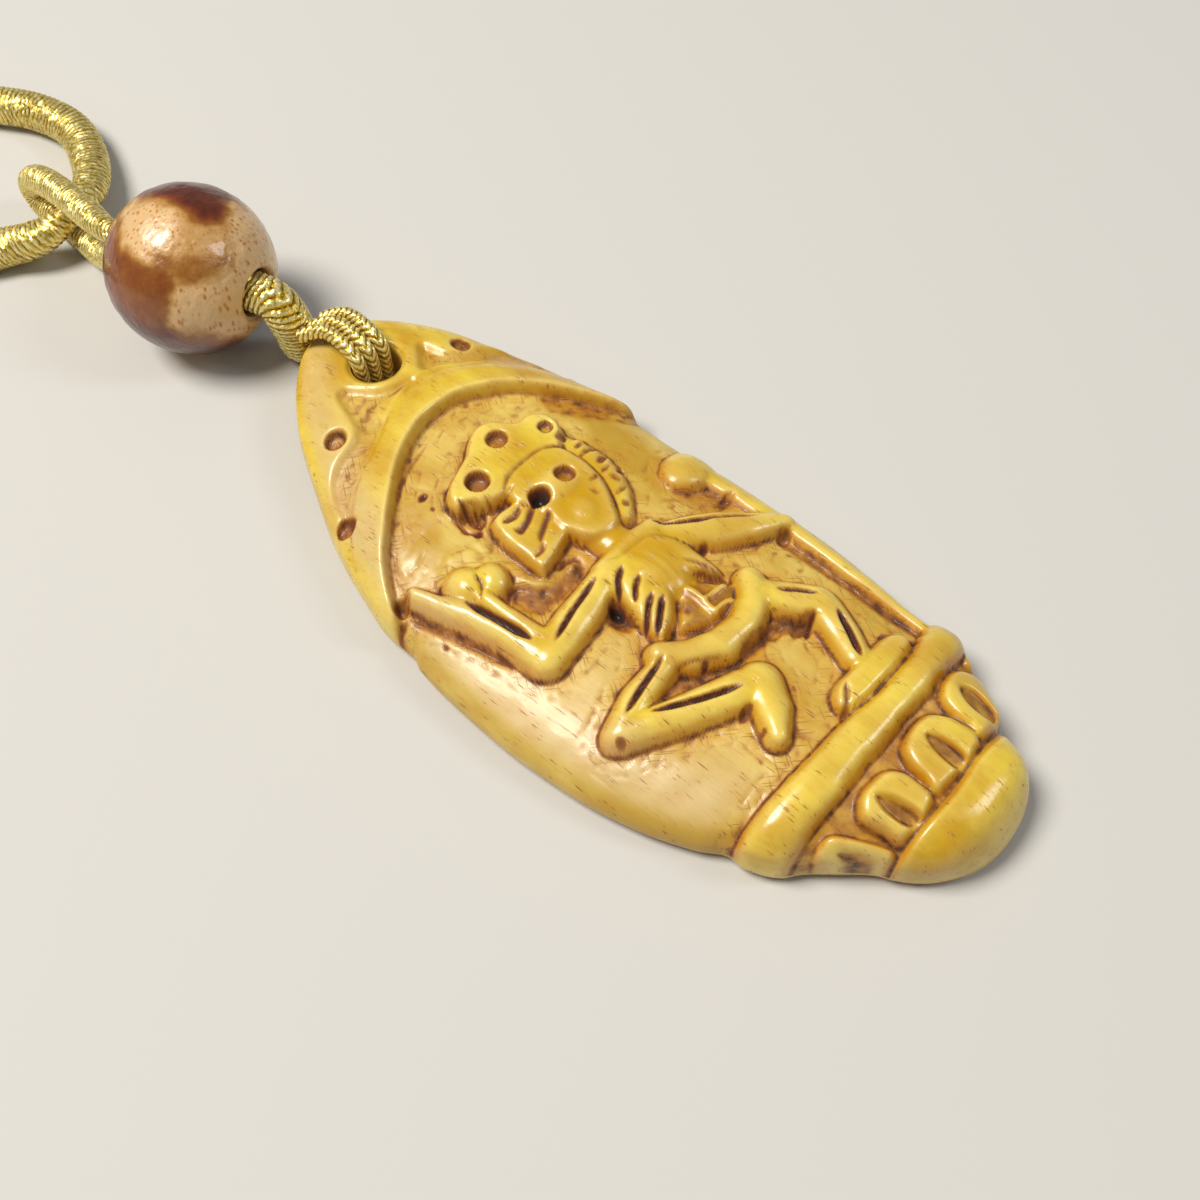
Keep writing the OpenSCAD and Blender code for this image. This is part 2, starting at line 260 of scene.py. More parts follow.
def dome(x, y, centre, half, height, turn=0, power=0.6):
    """A round boss with its two half widths, turned by an angle in degrees."""
    c, s = math.cos(math.radians(turn)), math.sin(math.radians(turn))
    u, v = (x - centre[0]) * c + (y - centre[1]) * s, (y - centre[1]) * c - (x - centre[0]) * s
    return height * np.clip(1 - (u / half[0]) ** 2 - (v / half[1]) ** 2, 0, 1) ** power


def plate(x, y, corners, height, edge=0.6, slanted=False):
    """A flat-topped form with a rounded edge, or with a slanted wall and a crisp edge."""
    t = np.clip(inside(x, y, corners) / edge, 0, 1)
    return height * (t ** 0.85 if slanted else np.sqrt(1 - (1 - t) ** 2))


def graver_cut(x, y, points, width, depth):
    """A cut that tapers at both ends, as a graver leaves it: returns depth and how dark it is inside."""
    gap, run, _ = along_line(x, y, points)
    taper = np.clip(np.minimum(run, 1 - run) * 5, 0.12, 1) ** 0.5
    share = np.clip(1 - gap / (0.46 * width * taper), 0, 1)
    return depth * taper * share ** 0.8, np.clip(1 - gap / (0.53 * width * taper), 0, 1) ** 0.45


def blend_max(a, b, soft=0.25):
    """The higher of two forms, with a soft fillet where they meet."""
    t = np.clip(0.5 + 0.5 * (a - b) / soft, 0, 1)
    return b + (a - b) * t + soft * t * (1 - t)


print("two 1 mm forms that meet rise to %.2f mm" % blend_max(1, 1))

# %% [markdown]
# The blank comes first: its outline seen from above, its dome, and its rounded edge. The tip's back is
# cut away by 1.5 mm, so that the cord passes under it and the pendant still lies flat.

# %% The blank
FOOT_Y, LENGTH, HOLE_AT, HOLE_R = -33.7, 67, (0.0, 26.5), 2.1
# y, left edge, right edge
outline = [
    (-33.7, -0.35, -0.25), (-33.62, -1.4, 0.9), (-33.35, -2.6, 2.2), (-32.6, -4.15, 3.7), (-31, -6.1, 5),
    (-29.2, -7.35, 5.6), (-28.3, -7.75, 6.6), (-26, -9.6, 7.9), (-24.4, -11.0, 8.8), (-23.6, -12.0, 9.5),
    (-22.3, -12.8, 9.9), (-20.9, -13.2, 9.9), (-20.2, -13.15, 9.9), (-18, -14.3, 10.1),
    (-14, -15.8, 10.9), (-9, -16.8, 11.3), (-3, -17.2, 11.1), (2, -17, 10.8), (5.6, -16.6, 10.7),
    (6.9, -16.1, 10.7), (9, -16.1, 10.9), (13, -15.1, 10.5), (18, -13.3, 9.7), (23, -10.7, 8.2),
    (27, -8.4, 6.5), (30, -6, 4.7), (31.7, -4.15, 3.2), (32.6, -2.9, 2.0), (33.1, -1.8, 0.95),
    (33.27, -0.95, 0.1), (33.3, -0.45, -0.35)]
# y, height of the dome's crest, height of the widest line of the edge, height of the underside
section = [
    (-33.7, 1.6, 1.5, 0.4), (-33.5, 2.5, 1.4, 0), (-33, 3.4, 1.4, 0), (-32, 4.2, 1.4, 0),
    (-30.5, 4.75, 1.4, 0), (-28, 5.05, 1.4, 0), (-20, 5.25, 1.4, 0), (-8, 5.3, 1.4, 0), (10, 5.3, 1.4, 0),
    (18, 5, 1.4, 0), (21.5, 4.75, 1.4, 0), (26, 4.3, 2.2, 1.5), (30, 3.8, 2.4, 1.55), (32, 3.4, 2.4, 1.6),
    (33, 2.95, 2.35, 1.8), (33.3, 2.4, 2.3, 2.2)]


def dome_height(x, y):
    """The plain domed face of the blank."""
    left, right = through(outline, y, 1), through(outline, y, 2)
    crest, edge = through(section, y, 1), through(section, y, 2)
    t = np.clip(np.abs((2 * x - left - right) / np.maximum(right - left, 0.01)), 0, 1)
    return edge + (crest - edge) * np.sqrt(np.clip(1 - t ** 3, 0, 1))


widest, thickest = max(row[2] - row[1] for row in outline), max(row[1] for row in section)
print("the blank is %.1f x %.1f x %.1f mm before carving" % (LENGTH, widest, thickest))

# %% [markdown]
# The arch over the figure is a band with a crisp inner crest and a near-upright wall below it. Beyond
# the band the border keeps the slab's full height, and two shallow hollows are scooped between them.

# %% The arch and the border
# Crest and outer edge run over the arch, and then round the outside of the figure, far below the slab
arch_crest = smooth([
    (-15.9, 8.4), (-15, 10), (-13.2, 12.4), (-11.1, 14.2), (-9.1, 15.75), (-7, 17.2), (-5.2, 18.2),
    (-3.5, 18.85), (-1.7, 19.2), (0.2, 19.1), (1.8, 18.65), (3.2, 17.9), (4.6, 16.9), (5.7, 15.8),
    (6.8, 14.5), (7.8, 13.1), (8.7, 11.7), (9.7, 10.1), (10.9, 8.6),
    (12.5, 7.6)], closed=False) + [(13, -40), (-20, -40), (-20, 7)]
arch_outer = smooth([
    (-16.2, 10.1), (-15.1, 12.1), (-13.7, 14.8), (-11.9, 16.8), (-10.1, 18.2), (-8.5, 19), (-6.7, 19.6),
    (-4.7, 20.6), (-2.9, 21.5), (-1.1, 22), (0.8, 22.2), (2.4, 21.8), (4.1, 20.9), (6, 19.3), (7.7, 17.4),
    (8.9, 15.3), (9.9, 13), (10.8, 10.8), (12, 8.6)], closed=False) + [(13, -40), (-20, -40), (-20, 9)]
left_hollow = smooth([
    (-12, 17.3), (-11.8, 18.4), (-11.1, 19.8), (-10.2, 20.9), (-9, 21.5), (-7.3, 21.8), (-6, 22.4),
    (-5.2, 24.2), (-4.6, 26), (-3.7, 26.4), (-3, 25.5), (-2.2, 24.3), (-0.6, 23.2), (0.4, 22.8),
    (-1.2, 22.5), (-2.9, 22), (-4.7, 21.1), (-6.7, 20.1), (-8.6, 19.4), (-10.2, 18.6)])
right_hollow = smooth([
    (3.8, 25.2), (2.6, 24.1), (1.8, 23), (3.1, 22.4), (4.6, 21.3), (6.3, 19.9), (7.9, 18.1), (9.2, 15.9),
    (9.9, 14.9), (9.5, 17.6), (8.8, 20), (7.6, 21.1), (5.7, 22), (4.3, 23.2)])
tip_ledge = [(-4.2, 21.5), (-4.1, 22.7), (-3.2, 23.3), (-1.5, 23), (0.5, 22.9), (-1, 22.1)]
BAND_H, BORDER_H, HOLLOW_D, LEDGE_H = 1.3, 0.8, 0.55, 0.3


def top_forms(x, y):
    """Height of arch and border, where the hollows are, and the distance inwards to the arch's crest."""
    crest, outer = -inside(x, y, arch_crest), -inside(x, y, arch_outer)
    above = ease(7.6, 9.2, y)
    band = ease(-0.7, 0.0, crest) * (BAND_H - 0.11 * np.clip(crest, 0, 4)) - 0.3 * ease(-1.0, 0.4, outer)
    band = band + 0.13 * np.exp(-((crest - 0.12) / 0.16) ** 2)
    border = BORDER_H * ease(-0.2, 0.5, outer)
    scoop = np.maximum(ease(-0.45, 0.45, inside(x, y, left_hollow)),
                       ease(-0.5, 0.4, inside(x, y, right_hollow)))
    lift = np.where(outer > 0, np.maximum(band * (1 - ease(0, 0.7, outer)), border), band)
    lift = lift - HOLLOW_D * scoop + LEDGE_H * plate(x, y, tip_ledge, 1, 0.5)
    return np.maximum(lift, 0) * above, scoop * above, crest


print("arch and border: %.1f and %.1f mm above the dome" % (BAND_H, BORDER_H))

# %% [markdown]
# The figure dances on one leg, with a staff on its left arm and a cup in its right hand. It is the
# traditional skeleton dancer. Each limb is a roll; each bone slit is a graver cut that is black inside.

# %% The figure's rolls
# Points are x, y, radius; the last value of a row is the height above the ground
limbs = [
    ([(-1.2, 2, 1.6), (-1.1, -0.6, 1.6)], 1.35),  # Neck
    ([(-3.7, -1, 1.25), (-1.2, -0.75, 1.1), (1.3, -1.1, 1.2)], 1.7),  # Shoulders
    ([(-3.9, -1.2, 1.3), (-7.8, -1.9, 1.7), (-11.4, -2.3, 1.6)], 1.6),  # Right upper arm
    ([(-11.5, -2.2, 1.6), (-11.75, 1, 1.3), (-12.5, 4.5, 1.15), (-13.2, 6.6, 0.9),
      (-13.7, 8.7, 0.75)], 1.5),  # Right forearm
    ([(-10.9, 4.6, 0.75), (-10.75, 1.5, 0.8), (-10.6, -1.2, 0.9)], 1.45),  # Its inner edge
    ([(1.5, -1.9, 1.35), (4.7, -4.4, 1.85), (6.7, -6, 1.5), (9.2, -7.5, 1.0)], 1.55),  # Left upper arm
    ([(9.2, -1, 1.3), (9.3, -4, 1.1), (9.1, -7, 1.1)], 0.9),  # Upper part of the staff
    ([(9.4, -7.6, 1.0), (9.0, -13, 0.95), (8.8, -20.3, 0.95)], 1.0),  # Staff
    ([(-6.5, -8.2, 1.15), (-5.1, -9.8, 1.4), (-3, -10.95, 1.5), (-0.8, -11.15, 1.45), (1.3, -10.5, 1.4),
      (2.6, -9.1, 1.3)], 1.8),  # Hips
    ([(-6.6, -9, 1.15), (-9.8, -9.1, 1.3), (-12.7, -9.75, 1.25)], 1.55),  # Right thigh
    ([(-12.5, -10.1, 1.2), (-9, -12.1, 1.5), (-4.7, -14.15, 1.7)], 1.55),  # Right shin
    ([(-3.5, -14.7, 1.75), (-4.6, -16.6, 1.55), (-6, -18.1, 1.0)], 1.6),  # Right foot
    ([(2.3, -10.6, 1.5), (3.3, -12.2, 1.6), (4.4, -13.8, 1.65)], 1.6),  # Left thigh
    ([(4.4, -14.5, 1.55), (3.4, -16.8, 1.45), (2.5, -18.5, 1.3)], 1.5),  # Left shin
    # Line beside the jaw
    ([(-7.6, 8, 0.5), (-7.75, 5.5, 0.45), (-7.6, 2.6, 0.5), (-6.6, 1.3, 0.5), (-5.2, 1.1, 0.4)], 0.35),
    ([(3.3, 9.5, 0.8), (3.45, 8.1, 1.15), (3.5, 6.4, 1.25), (3.2, 4.6, 1.2), (2.4, 3, 1.1),
      (1.2, 1.4, 0.8)], 0.95),  # Hair behind the head
]
print("limbs:", len(limbs))

# %% The figure's flat and round forms
crown = smooth([
    (-7.0, 10.8), (-6.8, 11.8), (-6, 12.7), (-4.5, 13.3), (-3, 13.8), (-1.6, 14.8), (-0.3, 15.1),
    (0.9, 14.6), (1.65, 13.6), (2.2, 13.05), (2.9, 13.1), (3.8, 12.6), (4.4, 11.6), (4.25, 10.4),
    (3.6, 9.4), (2.9, 8.9), (2.2, 8.6), (1.5, 9), (0.4, 9.3), (-1.5, 9.3), (-2.5, 9.1), (-3.4, 8.7),
    (-4.4, 8.9), (-5.5, 9.5), (-6.4, 10.1)])
face = smooth([
    (-2.5, 10), (-1, 10.25), (0.5, 10.2), (1.6, 9.8), (2.5, 9), (2.8, 7.4), (2.75, 6), (2.45, 4.6),
    (1.6, 2.9), (0.7, 1.5), (0.2, 0.85), (-0.6, 0.75), (-1.8, 0.95), (-2.7, 1.7), (-3.1, 2.7),
    (-3.4, 3.6), (-3.2, 5), (-3.3, 6.4), (-3.9, 7.6), (-3.6, 9)])
mouth = [
    (-3.8, 8.3), (-5, 8.5), (-6, 8.4), (-6.5, 7.6), (-6.75, 6.6), (-6.85, 5.3), (-6.85, 4.2), (-6.95, 3),
    (-6.9, 2.1), (-5.9, 2.2), (-4.8, 2.4), (-3.8, 2.7), (-2.2, 3), (-2, 6), (-2.4, 7.8)]
chest = smooth([
    (-5, -0.6), (-3.4, -0.1), (1.3, -0.5), (1.95, -2.2), (2.1, -4.8), (1.75, -7.4), (0.3, -6.2),
    (-0.7, -5.7), (-1.7, -5.9), (-3.6, -7.4), (-5.6, -7.7), (-5.5, -5.5), (-5, -3.4)])
standing_foot = smooth([
    (-1.7, -19.4), (-0.4, -18.7), (2.6, -18.8), (5.2, -18.9), (6.3, -19.8), (6, -20.9), (3.9, -21.3),
    (0.7, -21.2), (-1.2, -20.9), (-1.9, -20.2)])
palm = smooth([(-12.1, 7.8), (-10.8, 8.7), (-9.8, 9.2), (-8.5, 8.7), (-7.9, 7.2), (-7.7, 6), (-8.6, 5.4)])
# Outline, height, width of the edge, and whether that is slanted instead of rounded
plates = [(crown, 1.7, 0.6, False), (face, 1.7, 0.55, False), (mouth, 1.4, 0.45, True),
          (chest, 1.7, 1.3, False), (standing_foot, 1.45, 0.8, False), (palm, 0.4, 0.5, False)]
# Centre, half widths, height, turn in degrees
bosses = [
    # The crown's three knobs
    ((-4.3, 11.1), (2.1, 1.9), 2.1, 0), ((-0.4, 12.9), (1.95, 1.9), 2.0, 0),
    ((2.9, 10.9), (1.5, 1.6), 1.9, 0),
    # Skull, cheek and chest
    ((-0.5, 6.6), (2.95, 3.0), 2.15, 0), ((-0.9, 3.6), (2.1, 2.5), 2.0, 0),
    ((-1.2, -3.4), (3.1, 3.4), 1.95, 0),
    # The raised hand with its cup, and the staff's head
    ((-10.9, 6), (1.7, 1.95), 1.6, 20), ((-9.4, 4.9), (1.45, 1.65), 1.5, -25),
    ((8.4, 1), (2.8, 2.15), 1.45, 0),
    # Knees and chin
    ((-12.8, -9.8), (1.15, 1.1), 1.5, 0), ((4.6, -14.1), (1.5, 1.4), 1.55, 0),
    ((-4.7, 1.3), (0.6, 0.5), 0.6, 0),
    # Curls of hair
    ((3.9, 8.5), (0.75, 0.4), 1.1, -15), ((4.1, 6.9), (0.6, 0.34), 1.1, 15),
    ((4, 5.6), (0.7, 0.35), 1.1, 20), ((3.4, 3.9), (0.6, 0.4), 1.05, 35),
    ((2.3, 2.2), (0.55, 0.35), 0.95, 40),
]
# Below the ribs the ground is low, and the spine crosses it as three thin ridges of x, y, radius
belly = [(-1.6, -5.9), (-4.4, -7.9), (-2.1, -9.6), (0.2, -9.8), (1.8, -8.5), (0.2, -6.2)]
spine_lines = [
    [(-1.1, -6.1, 0.4), (-1, -7.2, 0.36), (-1.2, -8.4, 0.32), (-1.35, -9.2, 0.3)],
    [(-1.3, -9, 0.3), (-0.5, -9, 0.34), (0.4, -9.3, 0.3)],
    [(-0.9, -7.8, 0.26), (0, -7.95, 0.3), (0.9, -8.1, 0.26)],
]
print("plates: %d, bosses: %d, spine ridges: %d" % (len(plates), len(bosses), len(spine_lines)))

# %% [markdown]
# The graver then cuts lines, and a drill the round eyes and dots. Ink was rubbed over the finished
# face and wiped off, so it stays in the cuts: a deep narrow cut is black and a shallow one brown.

# %% The graver's cuts
# Points, width, depth, how black the ink in them is
cuts = [
    # Bone slits of the arms
    ([(-11.95, 5), (-11.65, 2.4), (-11.3, -0.7)], 0.72, 1.0, 1),
    ([(-10.4, -2.1), (-7.6, -1.45), (-4.8, -0.95)], 0.5, 0.8, 0.9),
    ([(1.7, -0.85), (3, -2.2), (4.8, -3.7)], 0.62, 0.9, 0.95),
    ([(4.3, -3.1), (5.4, -4), (6.6, -5), (7.7, -6)], 0.4, 0.5, 0.6),
    # Bone slits of the legs
    ([(-11.5, -9.4), (-9.1, -9), (-6.7, -8.65)], 0.5, 0.8, 1),
    ([(-10.15, -10.65), (-7.5, -12.55), (-4.8, -14.1)], 0.58, 0.9, 1),
    ([(2.95, -11.2), (3.8, -12.2), (4.65, -13.5)], 0.42, 0.7, 0.9),
    ([(4.5, -15.4), (3.6, -17), (2.4, -18.85)], 0.6, 0.85, 1),
    # Ribs
    ([(-4.9, -3.3), (-4, -2.35), (-2.9, -1.8)], 0.45, 0.7, 1),
    ([(-4.5, -4.4), (-3.7, -3.7), (-2.7, -3.2)], 0.45, 0.7, 0.85),
    ([(-5.8, -6.5), (-4.5, -5.5), (-3.2, -4.8)], 0.5, 0.7, 0.85),
    ([(-5.5, -7.2), (-4.2, -6.4), (-2.85, -5.5)], 0.5, 0.75, 1),
    ([(0.1, -5.8), (0.8, -6.3), (1.1, -7), (1.8, -7.9)], 0.32, 0.3, 0.6),
    ([(0.3, -4.5), (0.8, -5.3), (1.2, -6.2), (1.7, -7.4)], 0.3, 0.3, 0.6),
    # Mouth and nose
    ([(-3.8, 7.3), (-4.6, 7.0), (-5.6, 7.3)], 0.65, 0.45, 0.6),
    ([(-2.9, 6.7), (-4.3, 6.0), (-5.3, 5.75), (-5.5, 6.4)], 0.6, 0.4, 0.65),
    ([(-2.6, 5.5), (-3.0, 5.2), (-4.5, 4.5), (-5.1, 4.1)], 0.55, 0.4, 0.6),
    ([(-6.3, 3.5), (-5.5, 3.5), (-4.9, 3.9)], 0.45, 0.35, 0.5),
    ([(-2.75, 6.1), (-3.3, 6.9), (-3.6, 7.5)], 0.3, 0.25, 0.15),
    # The standing knee
    ([(1.6, -14.9), (2.5, -14.5), (3.4, -14.25)], 0.4, 0.55, 0.9),
    # Hair below the crown
    ([(-6.4, 11.2), (-6.3, 10.2)], 0.34, 0.4, 0.7),
    ([(-6.5, 10.7), (-6.3, 8.9)], 0.34, 0.4, 0.65),
    ([(-7.3, 10.9), (-7.2, 8.8)], 0.34, 0.35, 0.6),
    ([(-5.8, 10.1), (-6.3, 8.8)], 0.32, 0.35, 0.6),
    ([(-4.9, 9.9), (-4.95, 8.8)], 0.3, 0.3, 0.5),
    ([(-7, 9.4), (-6.8, 7.9)], 0.26, 0.25, 0.4),
    # The raised hand and its cup
    ([(-9.9, 6.1), (-10.3, 5), (-11.3, 4.15)], 0.35, 0.35, 0.2),
    ([(-10.3, 2.6), (-9.2, 3.4), (-8.3, 3.3)], 0.4, 0.3, 0.6),
    # Edge of the crown, and nicks of the cheek
    ([(-3.9, 8.7), (-3.4, 9.2), (-2.5, 9.7), (-1.5, 9.85), (-0.5, 9.85), (0.4, 9.8), (1.3, 9.55),
      (1.9, 9.2), (2.5, 8.6), (2.7, 7.6)], 0.34, 0.28, 0.65),
    ([(-3.6, 8.7), (-2.75, 8.9)], 0.5, 0.3, 0.15),
    ([(0.9, 4.3), (1.3, 3.4)], 0.3, 0.12, 0.0),
    ([(2.1, 5.2), (1.8, 4.6)], 0.25, 0.2, 0.5),
    # Under the jaw
    ([(-5.6, 1.95), (-4.7, 2.1), (-3.95, 1.8), (-3.9, 1.1)], 0.45, 0.3, 0.7),
    ([(-8.1, 0.7), (-7.2, 0.9), (-6.2, 0.6)], 0.35, 0.2, 0.6),
    # Collar, breastbone and hip
    ([(-3.5, -0.4), (-2.6, -1.1), (-1, -1.3), (0.1, -1.4), (0.9, -2.0), (1.5, -2.9),
      (1.9, -4.0)], 0.3, 0.2, 0.4),
    ([(-1.4, -1.8), (-1.25, -3), (-1.25, -4.2), (-1.5, -5.6)], 0.32, 0.15, 0.2),
    ([(-0.65, -2.1), (-0.5, -3.1), (-0.55, -4.2), (-0.8, -5.4)], 0.28, 0.12, 0.15),
    ([(-6.9, -9.8), (-6, -10.1), (-5, -10.8), (-3.8, -11.8)], 0.28, 0.2, 0.6),
    # Slips of the graver in the open ground
    ([(-12.9, 10.3), (-12.8, 11.2), (-12, 12.4)], 0.35, 0.2, 0.4),
    ([(-12.9, 10.5), (-11.6, 10.35), (-10.4, 10.7)], 0.3, 0.2, 0.35),
    ([(-11.2, 11.4), (-10.2, 11.9), (-9.2, 11.85)], 0.25, 0.15, 0.15),
    ([(-9.3, 14.9), (-7.6, 16.1), (-5.6, 16.9), (-3.2, 17.5)], 0.4, 0.15, 0.5),
    ([(-7.9, 15.3), (-6.7, 14.9), (-6.4, 13.8)], 0.3, 0.12, 0.1),
    ([(-15.3, -9.2), (-15.2, -12)], 0.22, 0.1, 0.35),
    ([(-9.0, -14.2), (-8.0, -15.2)], 0.2, 0.15, 0.3),
    ([(-7.6, -17.6), (-7.4, -20.2)], 0.25, 0.15, 0.3),
    # The standing foot and the ground beside it
    ([(-2.4, -20.7), (-1.3, -20.3), (0.1, -19.2)], 0.6, 0.3, 0.5),
    ([(-12, -20.1), (-10, -20.1), (-8, -20.3)], 0.3, 0.2, 0.8),
    # The border's lower end
    ([(-14.8, 8.1), (-14.4, 6), (-13.6, 2), (-13.1, -1.2)], 0.8, 0.35, 0.3),
    ([(-16.6, 7), (-15.9, 8.1), (-15, 8.3)], 0.8, 0.45, 0.3),
]
print("graver cuts:", len(cuts))

# %% Drilled holes, pits and scoops
# Drilled holes and picked-out pits: centre, half widths, depth, how black
pits = [
    # Crown
    ((-4.2, 11.15), (0.94, 0.94), 1.2, 0.75), ((-0.35, 12.83), (0.82, 0.82), 1.0, 0.6),
    ((3.0, 10.9), (0.6, 0.58), 0.7, 0.35), ((-6.4, 9.7), (1.1, 1.0), 0.5, 0.05),
    # Eyes
    ((-2.23, 6.75), (0.8, 0.8), 1.3, 1), ((0.5, 6.7), (0.8, 0.8), 0.9, 0.45),
    # Dots of the border
    ((-7.5, 23.3), (0.87, 0.87), 0.8, 0.15), ((-12.4, 17.15), (0.8, 0.75), 0.8, 0.6),
    ((6.05, 23), (0.7, 0.85), 0.7, 0.5), ((-14.5, 9.1), (0.75, 0.65), 0.6, 0.3),
    # Dark corners between the limbs
    # The first, under the arm, is inked black as painted shade
    ((-5.5, -3.6), (0.5, 0.75), 0.25, 1), ((-6.0, -15.4), (0.65, 0.3), 0.2, 0.55),
    ((-1.2, -12.4), (1.6, 0.35), 0.25, 0.45), ((0.6, -12.9), (0.8, 0.5), 0.25, 0.45),
    ((2.2, -14.1), (1.1, 0.5), 0.3, 0.35), ((2.6, -4.85), (0.4, 0.3), 0.3, 0.7),
    ((7.9, -2.9), (0.95, 0.4), 0.3, 0.25), ((8.0, -8.3), (0.7, 0.5), 0.25, 0.3),
    # Specks picked out of the ground
    ((-6.9, 8.7), (0.35, 0.35), 0.3, 0.8), ((-7.2, 14.1), (0.42, 0.28), 0.2, 0.7),
    ((-7.5, 12.8), (0.15, 0.18), 0.15, 0.6), ((-5.2, -11.2), (0.35, 0.18), 0.15, 0.8),
    ((6.5, -20.7), (0.3, 0.3), 0.3, 0.7), ((5.4, -18.8), (0.45, 0.22), 0.2, 0.5),
    ((-13.1, -10.4), (0.3, 0.4), 0.1, 0.4), ((-6.5, -17.2), (0.22, 0.22), 0.12, 0.6),
    ((-2.5, -7.5), (0.25, 0.3), 0.12, 0.5), ((-14.9, 4.4), (0.15, 0.2), 0.1, 0.6),
    # Between the curls of the hair
    ((3.2, 9.5), (0.5, 0.35), 0.35, 0.3), ((3.7, 8.2), (0.4, 0.16), 0.2, 0.45),
    ((3.6, 7.4), (0.7, 0.16), 0.25, 0.4), ((3.9, 6.0), (0.5, 0.3), 0.3, 0.3),
    ((3.4, 5.2), (0.45, 0.15), 0.2, 0.5), ((3.3, 4.1), (0.3, 0.5), 0.25, 0.25),
    ((2.6, 3), (0.6, 0.18), 0.25, 0.35), ((1.9, 1.9), (0.3, 0.3), 0.2, 0.3),
    ((4.3, 7.2), (0.3, 0.3), 0.3, 0.1), ((4.2, 4.4), (0.35, 0.3), 0.35, 0.1),
    ((1.7, 4.9), (0.5, 0.2), 0.12, 0.2), ((0.8, 3.9), (0.2, 0.35), 0.12, 0.15),
]
# Ground that is cut lower and left brown: outline, depth, brown
scoops = [
    ([(-9.6, 2.9), (-8.8, 3.5), (-7.9, 3.1), (-7.2, 2), (-5.6, 1.6), (-4.3, 1.8), (-3.8, 1), (-4.3, 0.4),
      (-5.6, 0.1), (-8, 0.2), (-9.3, 0.8)], 0.25, 0.6),
    ([(-8.8, -10), (-7, -10.3), (-6, -10.9), (-4.2, -12.4), (-3.4, -13.6), (-5, -12.9),
      (-7, -11.4)], 0.15, 0.65),
    ([(7.2, -8.6), (8.2, -8.6), (8.2, -14), (8.0, -20.3), (7.2, -20.3), (7.3, -14)], 0.35, 0.6),
    ([(5.7, 0.8), (6.7, -0.4), (7.9, -1), (8.4, -2.6), (8.6, -3.8), (7.6, -3.8),
      (5.4, -2.2)], 0.15, 0.35),
    ([(-3.4, -12.4), (1.4, -12.3), (2.7, -14), (2, -15), (0.6, -13.4), (-2.2, -13)], 0.25, 0.7),
    # Under the arm the brown is painted shade
    ([(-5.3, -2.6), (-4.9, -3.3), (-4.8, -4.1), (-5.2, -5.0), (-5.9, -5.3), (-6.5, -4.7),
      (-6.4, -3.5)], 0.45, 0.95),
    ([(5.4, 12.6), (6.9, 10), (9, 7.8), (11.6, 6.4), (11.6, 8.6), (9.6, 10.6), (8, 12.8),
      (6.4, 14.4)], 0.15, 0.35),
]
print("holes and pits: %d, scoops: %d" % (len(pits), len(scoops)))

# %% [markdown]
# The foot is a lotus: a thick roll, a row of broad petals that touch each other, each with a scooped
# loop, and a smooth rounded cap. Only the seams between the petals and the notches above them are brown.

# %% The lotus foot
# Outline of each petal, and of the loop scooped in it
petals = [
    ([(-9.9, -24.6), (-8.9, -24.8), (-8.0, -26.2), (-6.9, -28.4), (-7.9, -28.6), (-9.6, -26.6),
      (-10.4, -25)],
     [(-9.5, -25.6), (-8.8, -26.1), (-7.8, -28.2), (-8.6, -27.7), (-9.3, -26.5)]),
    ([(-7.0, -25.7), (-6, -24.8), (-4.8, -24.7), (-3.4, -25), (-2.7, -25.9), (-2.6, -27), (-3, -28.6),
      (-6.2, -28.6), (-6.6, -27.2)],
     [(-5.3, -25.4), (-4.8, -25.9), (-4.45, -26.8), (-4.3, -28.6), (-5.3, -28.6), (-5.7, -27.4),
      (-5.75, -26.2)]),
    ([(-2.0, -26), (-1.3, -24.9), (0.2, -24.5), (1.8, -24.7), (2.6, -25.6), (2.9, -26.6), (2.6, -28.6),
      (-2.2, -28.6), (-2.2, -27.2)],
     [(0.4, -25.4), (0.9, -25.9), (1.15, -27), (1.0, -28.6), (-0.2, -28.6), (-0.3, -27.4),
      (-0.1, -26.2)]),
    ([(3.1, -26), (3.6, -24.7), (4.9, -24.1), (6.6, -24.2), (7.7, -25.3), (8.1, -26.4), (7.3, -28.4),
      (3.2, -28.5), (3.1, -27.2)],
     [(5.2, -25.1), (5.9, -25.7), (6.05, -26.9), (5.7, -28.4), (4.7, -28.4), (4.4, -27), (4.6, -25.9)]),
    ([(8.1, -24.2), (9.4, -24), (9.2, -26), (8.5, -27), (8.4, -25.6)], None),
]
# x, upper edge of the roll
roll_edge = [(-14, -20.35), (-11, -20.05), (-7, -20.4), (-2, -20.7), (1, -21.15), (5, -21.1), (8, -20.5),
             (11, -20.3)]
ROLL_H, ROLL_LOW, PETAL_H, CAP_TOP = 1.45, -23.85, 1.2, -28.75


